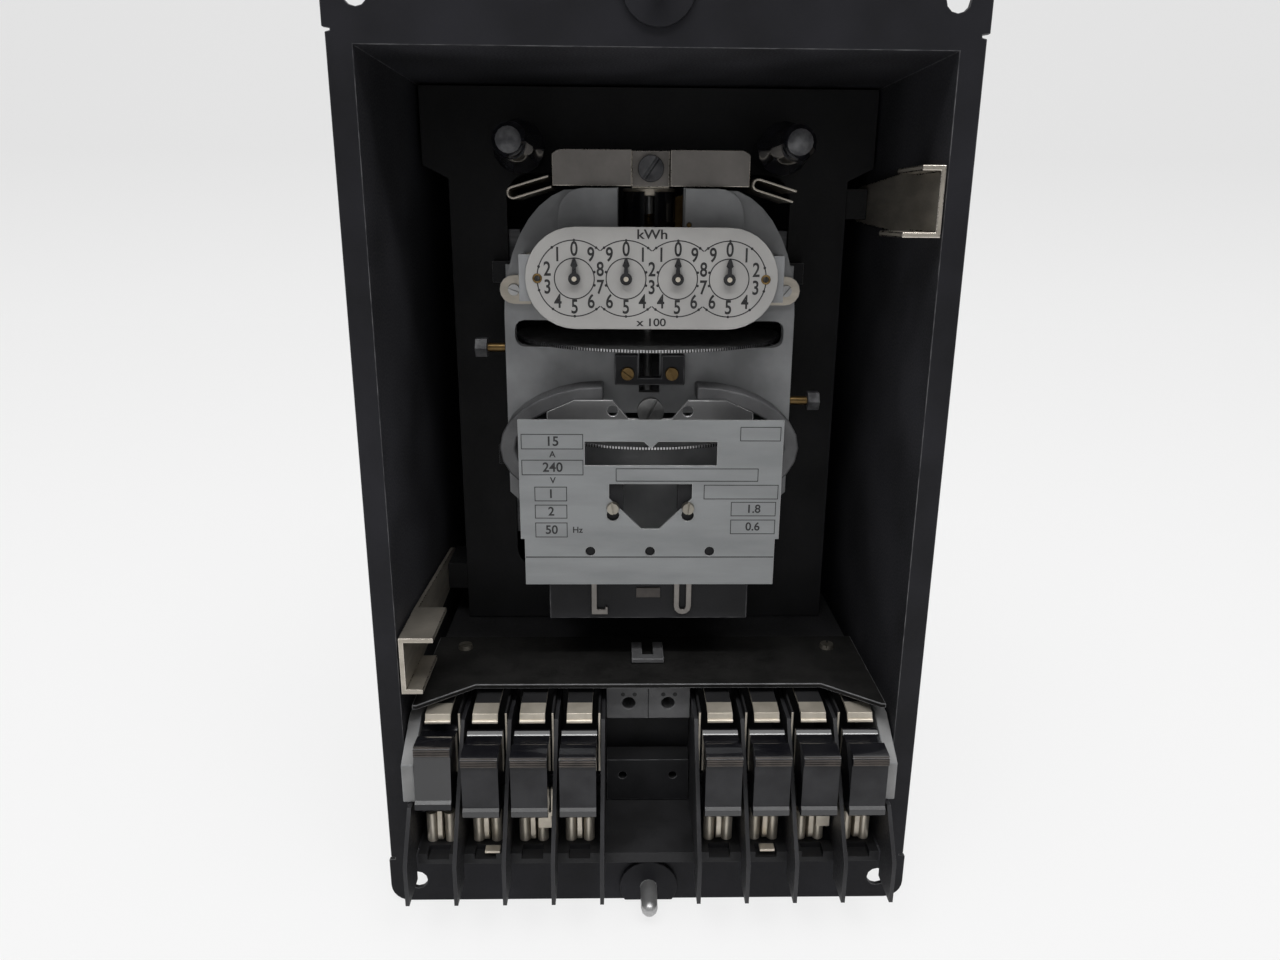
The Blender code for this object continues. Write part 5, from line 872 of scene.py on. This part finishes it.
# %% [markdown]
# ## Floor, backdrop and light
# The photograph was taken on a white sweep under soft light from overhead, so what faces up is bright and
# the inside of the case falls off into shade. A sweep is one sheet: floor, a wide curve and a wall. To the
# camera it shows a pale tone that hardly depends on the lamps, while it still takes the meter's soft
# shadow. The room is a sky that is darker at eye level than overhead. A broad panel above gives the soft
# light, a thin strip beside it draws the crisp line along each glossy edge, and a weak panel low in front
# opens the shade without showing in the metal.

# %% The sweep
FLOOR_Z, WALL_Y, COVE, STAGE_HALF, WALL_TOP, STAGE_FRONT = -0.1403, 1.95, 0.3, 3.0, 2.2, -1.6


def sweep_profile():
    points = [(STAGE_FRONT, FLOOR_Z), (WALL_Y - COVE, FLOOR_Z)]
    for step in range(1, 13):
        turn = math.radians(90 * step / 12)
        points.append((WALL_Y - COVE + COVE * math.sin(turn), FLOOR_Z + COVE - COVE * math.cos(turn)))
    return points + [(WALL_Y, WALL_TOP)]


sheet = bpy.data.meshes.new("paper_sweep")
profile = sweep_profile()
corners = [(x, y, z) for x in (-STAGE_HALF, STAGE_HALF) for y, z in profile]
count = len(profile)
sheet.from_pydata(corners, [], [(i, i + count, i + count + 1, i + 1) for i in range(count - 1)])
sheet.shade_smooth()
sweep = bpy.data.objects.new("paper_sweep", sheet)
bpy.context.scene.collection.objects.link(sweep)
print("sweep of", count, "lines")

# %% The sweep's paper
FLOOR_TONE, WALL_TONE, TONE_RISE, GLOW_SHARE = 0.98, 0.88, 0.35, 0.8
paper = bpy.data.materials.new("white_paper")
paper.use_nodes = True
tree = paper.node_tree
shader = tree.nodes["Principled BSDF"]
shader.inputs["Roughness"].default_value = 0.8
shader.inputs["Base Color"].default_value = (0.86, 0.86, 0.86, 1)
glow = tree.nodes.new("ShaderNodeEmission")
path = tree.nodes.new("ShaderNodeLightPath")
place = tree.nodes.new("ShaderNodeTexCoord")
height = tree.nodes.new("ShaderNodeSeparateXYZ")
tree.links.new(place.outputs["Object"], height.inputs["Vector"])
tone = tree.nodes.new("ShaderNodeMapRange")
tone.inputs["From Min"].default_value, tone.inputs["From Max"].default_value = FLOOR_Z, FLOOR_Z + TONE_RISE
tone.inputs["To Min"].default_value, tone.inputs["To Max"].default_value = FLOOR_TONE, WALL_TONE
tree.links.new(height.outputs["Z"], tone.inputs["Value"])
tree.links.new(tone.outputs["Result"], glow.inputs["Color"])
either, also = (tree.nodes.new("ShaderNodeMath") for _ in range(2))
either.operation = also.operation = "MAXIMUM"
tree.links.new(path.outputs["Is Camera Ray"], either.inputs[0])
tree.links.new(path.outputs["Is Glossy Ray"], either.inputs[1])
tree.links.new(either.outputs["Value"], also.inputs[0])
tree.links.new(path.outputs["Is Transmission Ray"], also.inputs[1])
share = tree.nodes.new("ShaderNodeMath")
share.operation = "MULTIPLY"
share.inputs[1].default_value = GLOW_SHARE
tree.links.new(also.outputs["Value"], share.inputs[0])
mix = tree.nodes.new("ShaderNodeMixShader")
tree.links.new(share.outputs["Value"], mix.inputs[0])
tree.links.new(shader.outputs["BSDF"], mix.inputs[1])
tree.links.new(glow.outputs["Emission"], mix.inputs[2])
tree.links.new(mix.outputs["Shader"], tree.nodes["Material Output"].inputs["Surface"])
sheet.materials.append(paper)
print("paper made")

# %% Sky and lamps
LEVEL_SKY, TOP_SKY, OVERHEAD_WATTS, STRIP_WATTS, FRONT_WATTS = 0.16, 0.36, 8.6, 4.0, 1.4
world = bpy.data.worlds.new("soft_room")
bpy.context.scene.world = world
world.use_nodes = True
tree = world.node_tree
background = tree.nodes["Background"]
background.inputs["Color"].default_value = (1, 1, 1, 1)
way = tree.nodes.new("ShaderNodeTexCoord")
rise = tree.nodes.new("ShaderNodeSeparateXYZ")
level_to_top = tree.nodes.new("ShaderNodeMapRange")
level_to_top.inputs["To Min"].default_value, level_to_top.inputs["To Max"].default_value = LEVEL_SKY, TOP_SKY
tree.links.new(way.outputs["Generated"], rise.inputs["Vector"])
tree.links.new(rise.outputs["Z"], level_to_top.inputs["Value"])
tree.links.new(level_to_top.outputs["Result"], background.inputs["Strength"])


def lamp(name, place, aim, size, watts):
    light = bpy.data.lights.new(name, "AREA")
    light.shape = "RECTANGLE"
    light.size, light.size_y = size
    light.energy = watts
    made = bpy.data.objects.new(name, light)
    bpy.context.scene.collection.objects.link(made)
    made.location = place
    made.rotation_euler = (Vector(aim) - Vector(place)).to_track_quat("-Z", "Y").to_euler()
    return made


lamp("overhead_panel", (0, -0.35, 1.15), (0, 0, -0.05), (1.5, 1.0), OVERHEAD_WATTS)
lamp("overhead_strip", (0, -0.55, 0.95), (0, 0, -0.08), (1.3, 0.07), STRIP_WATTS)
lamp("front_panel", (-0.3, -1.3, 0.14), (0, 0, 0), (0.9, 0.6), FRONT_WATTS).visible_glossy = False
print("sky", LEVEL_SKY, "to", TOP_SKY, "overhead", OVERHEAD_WATTS, "W")
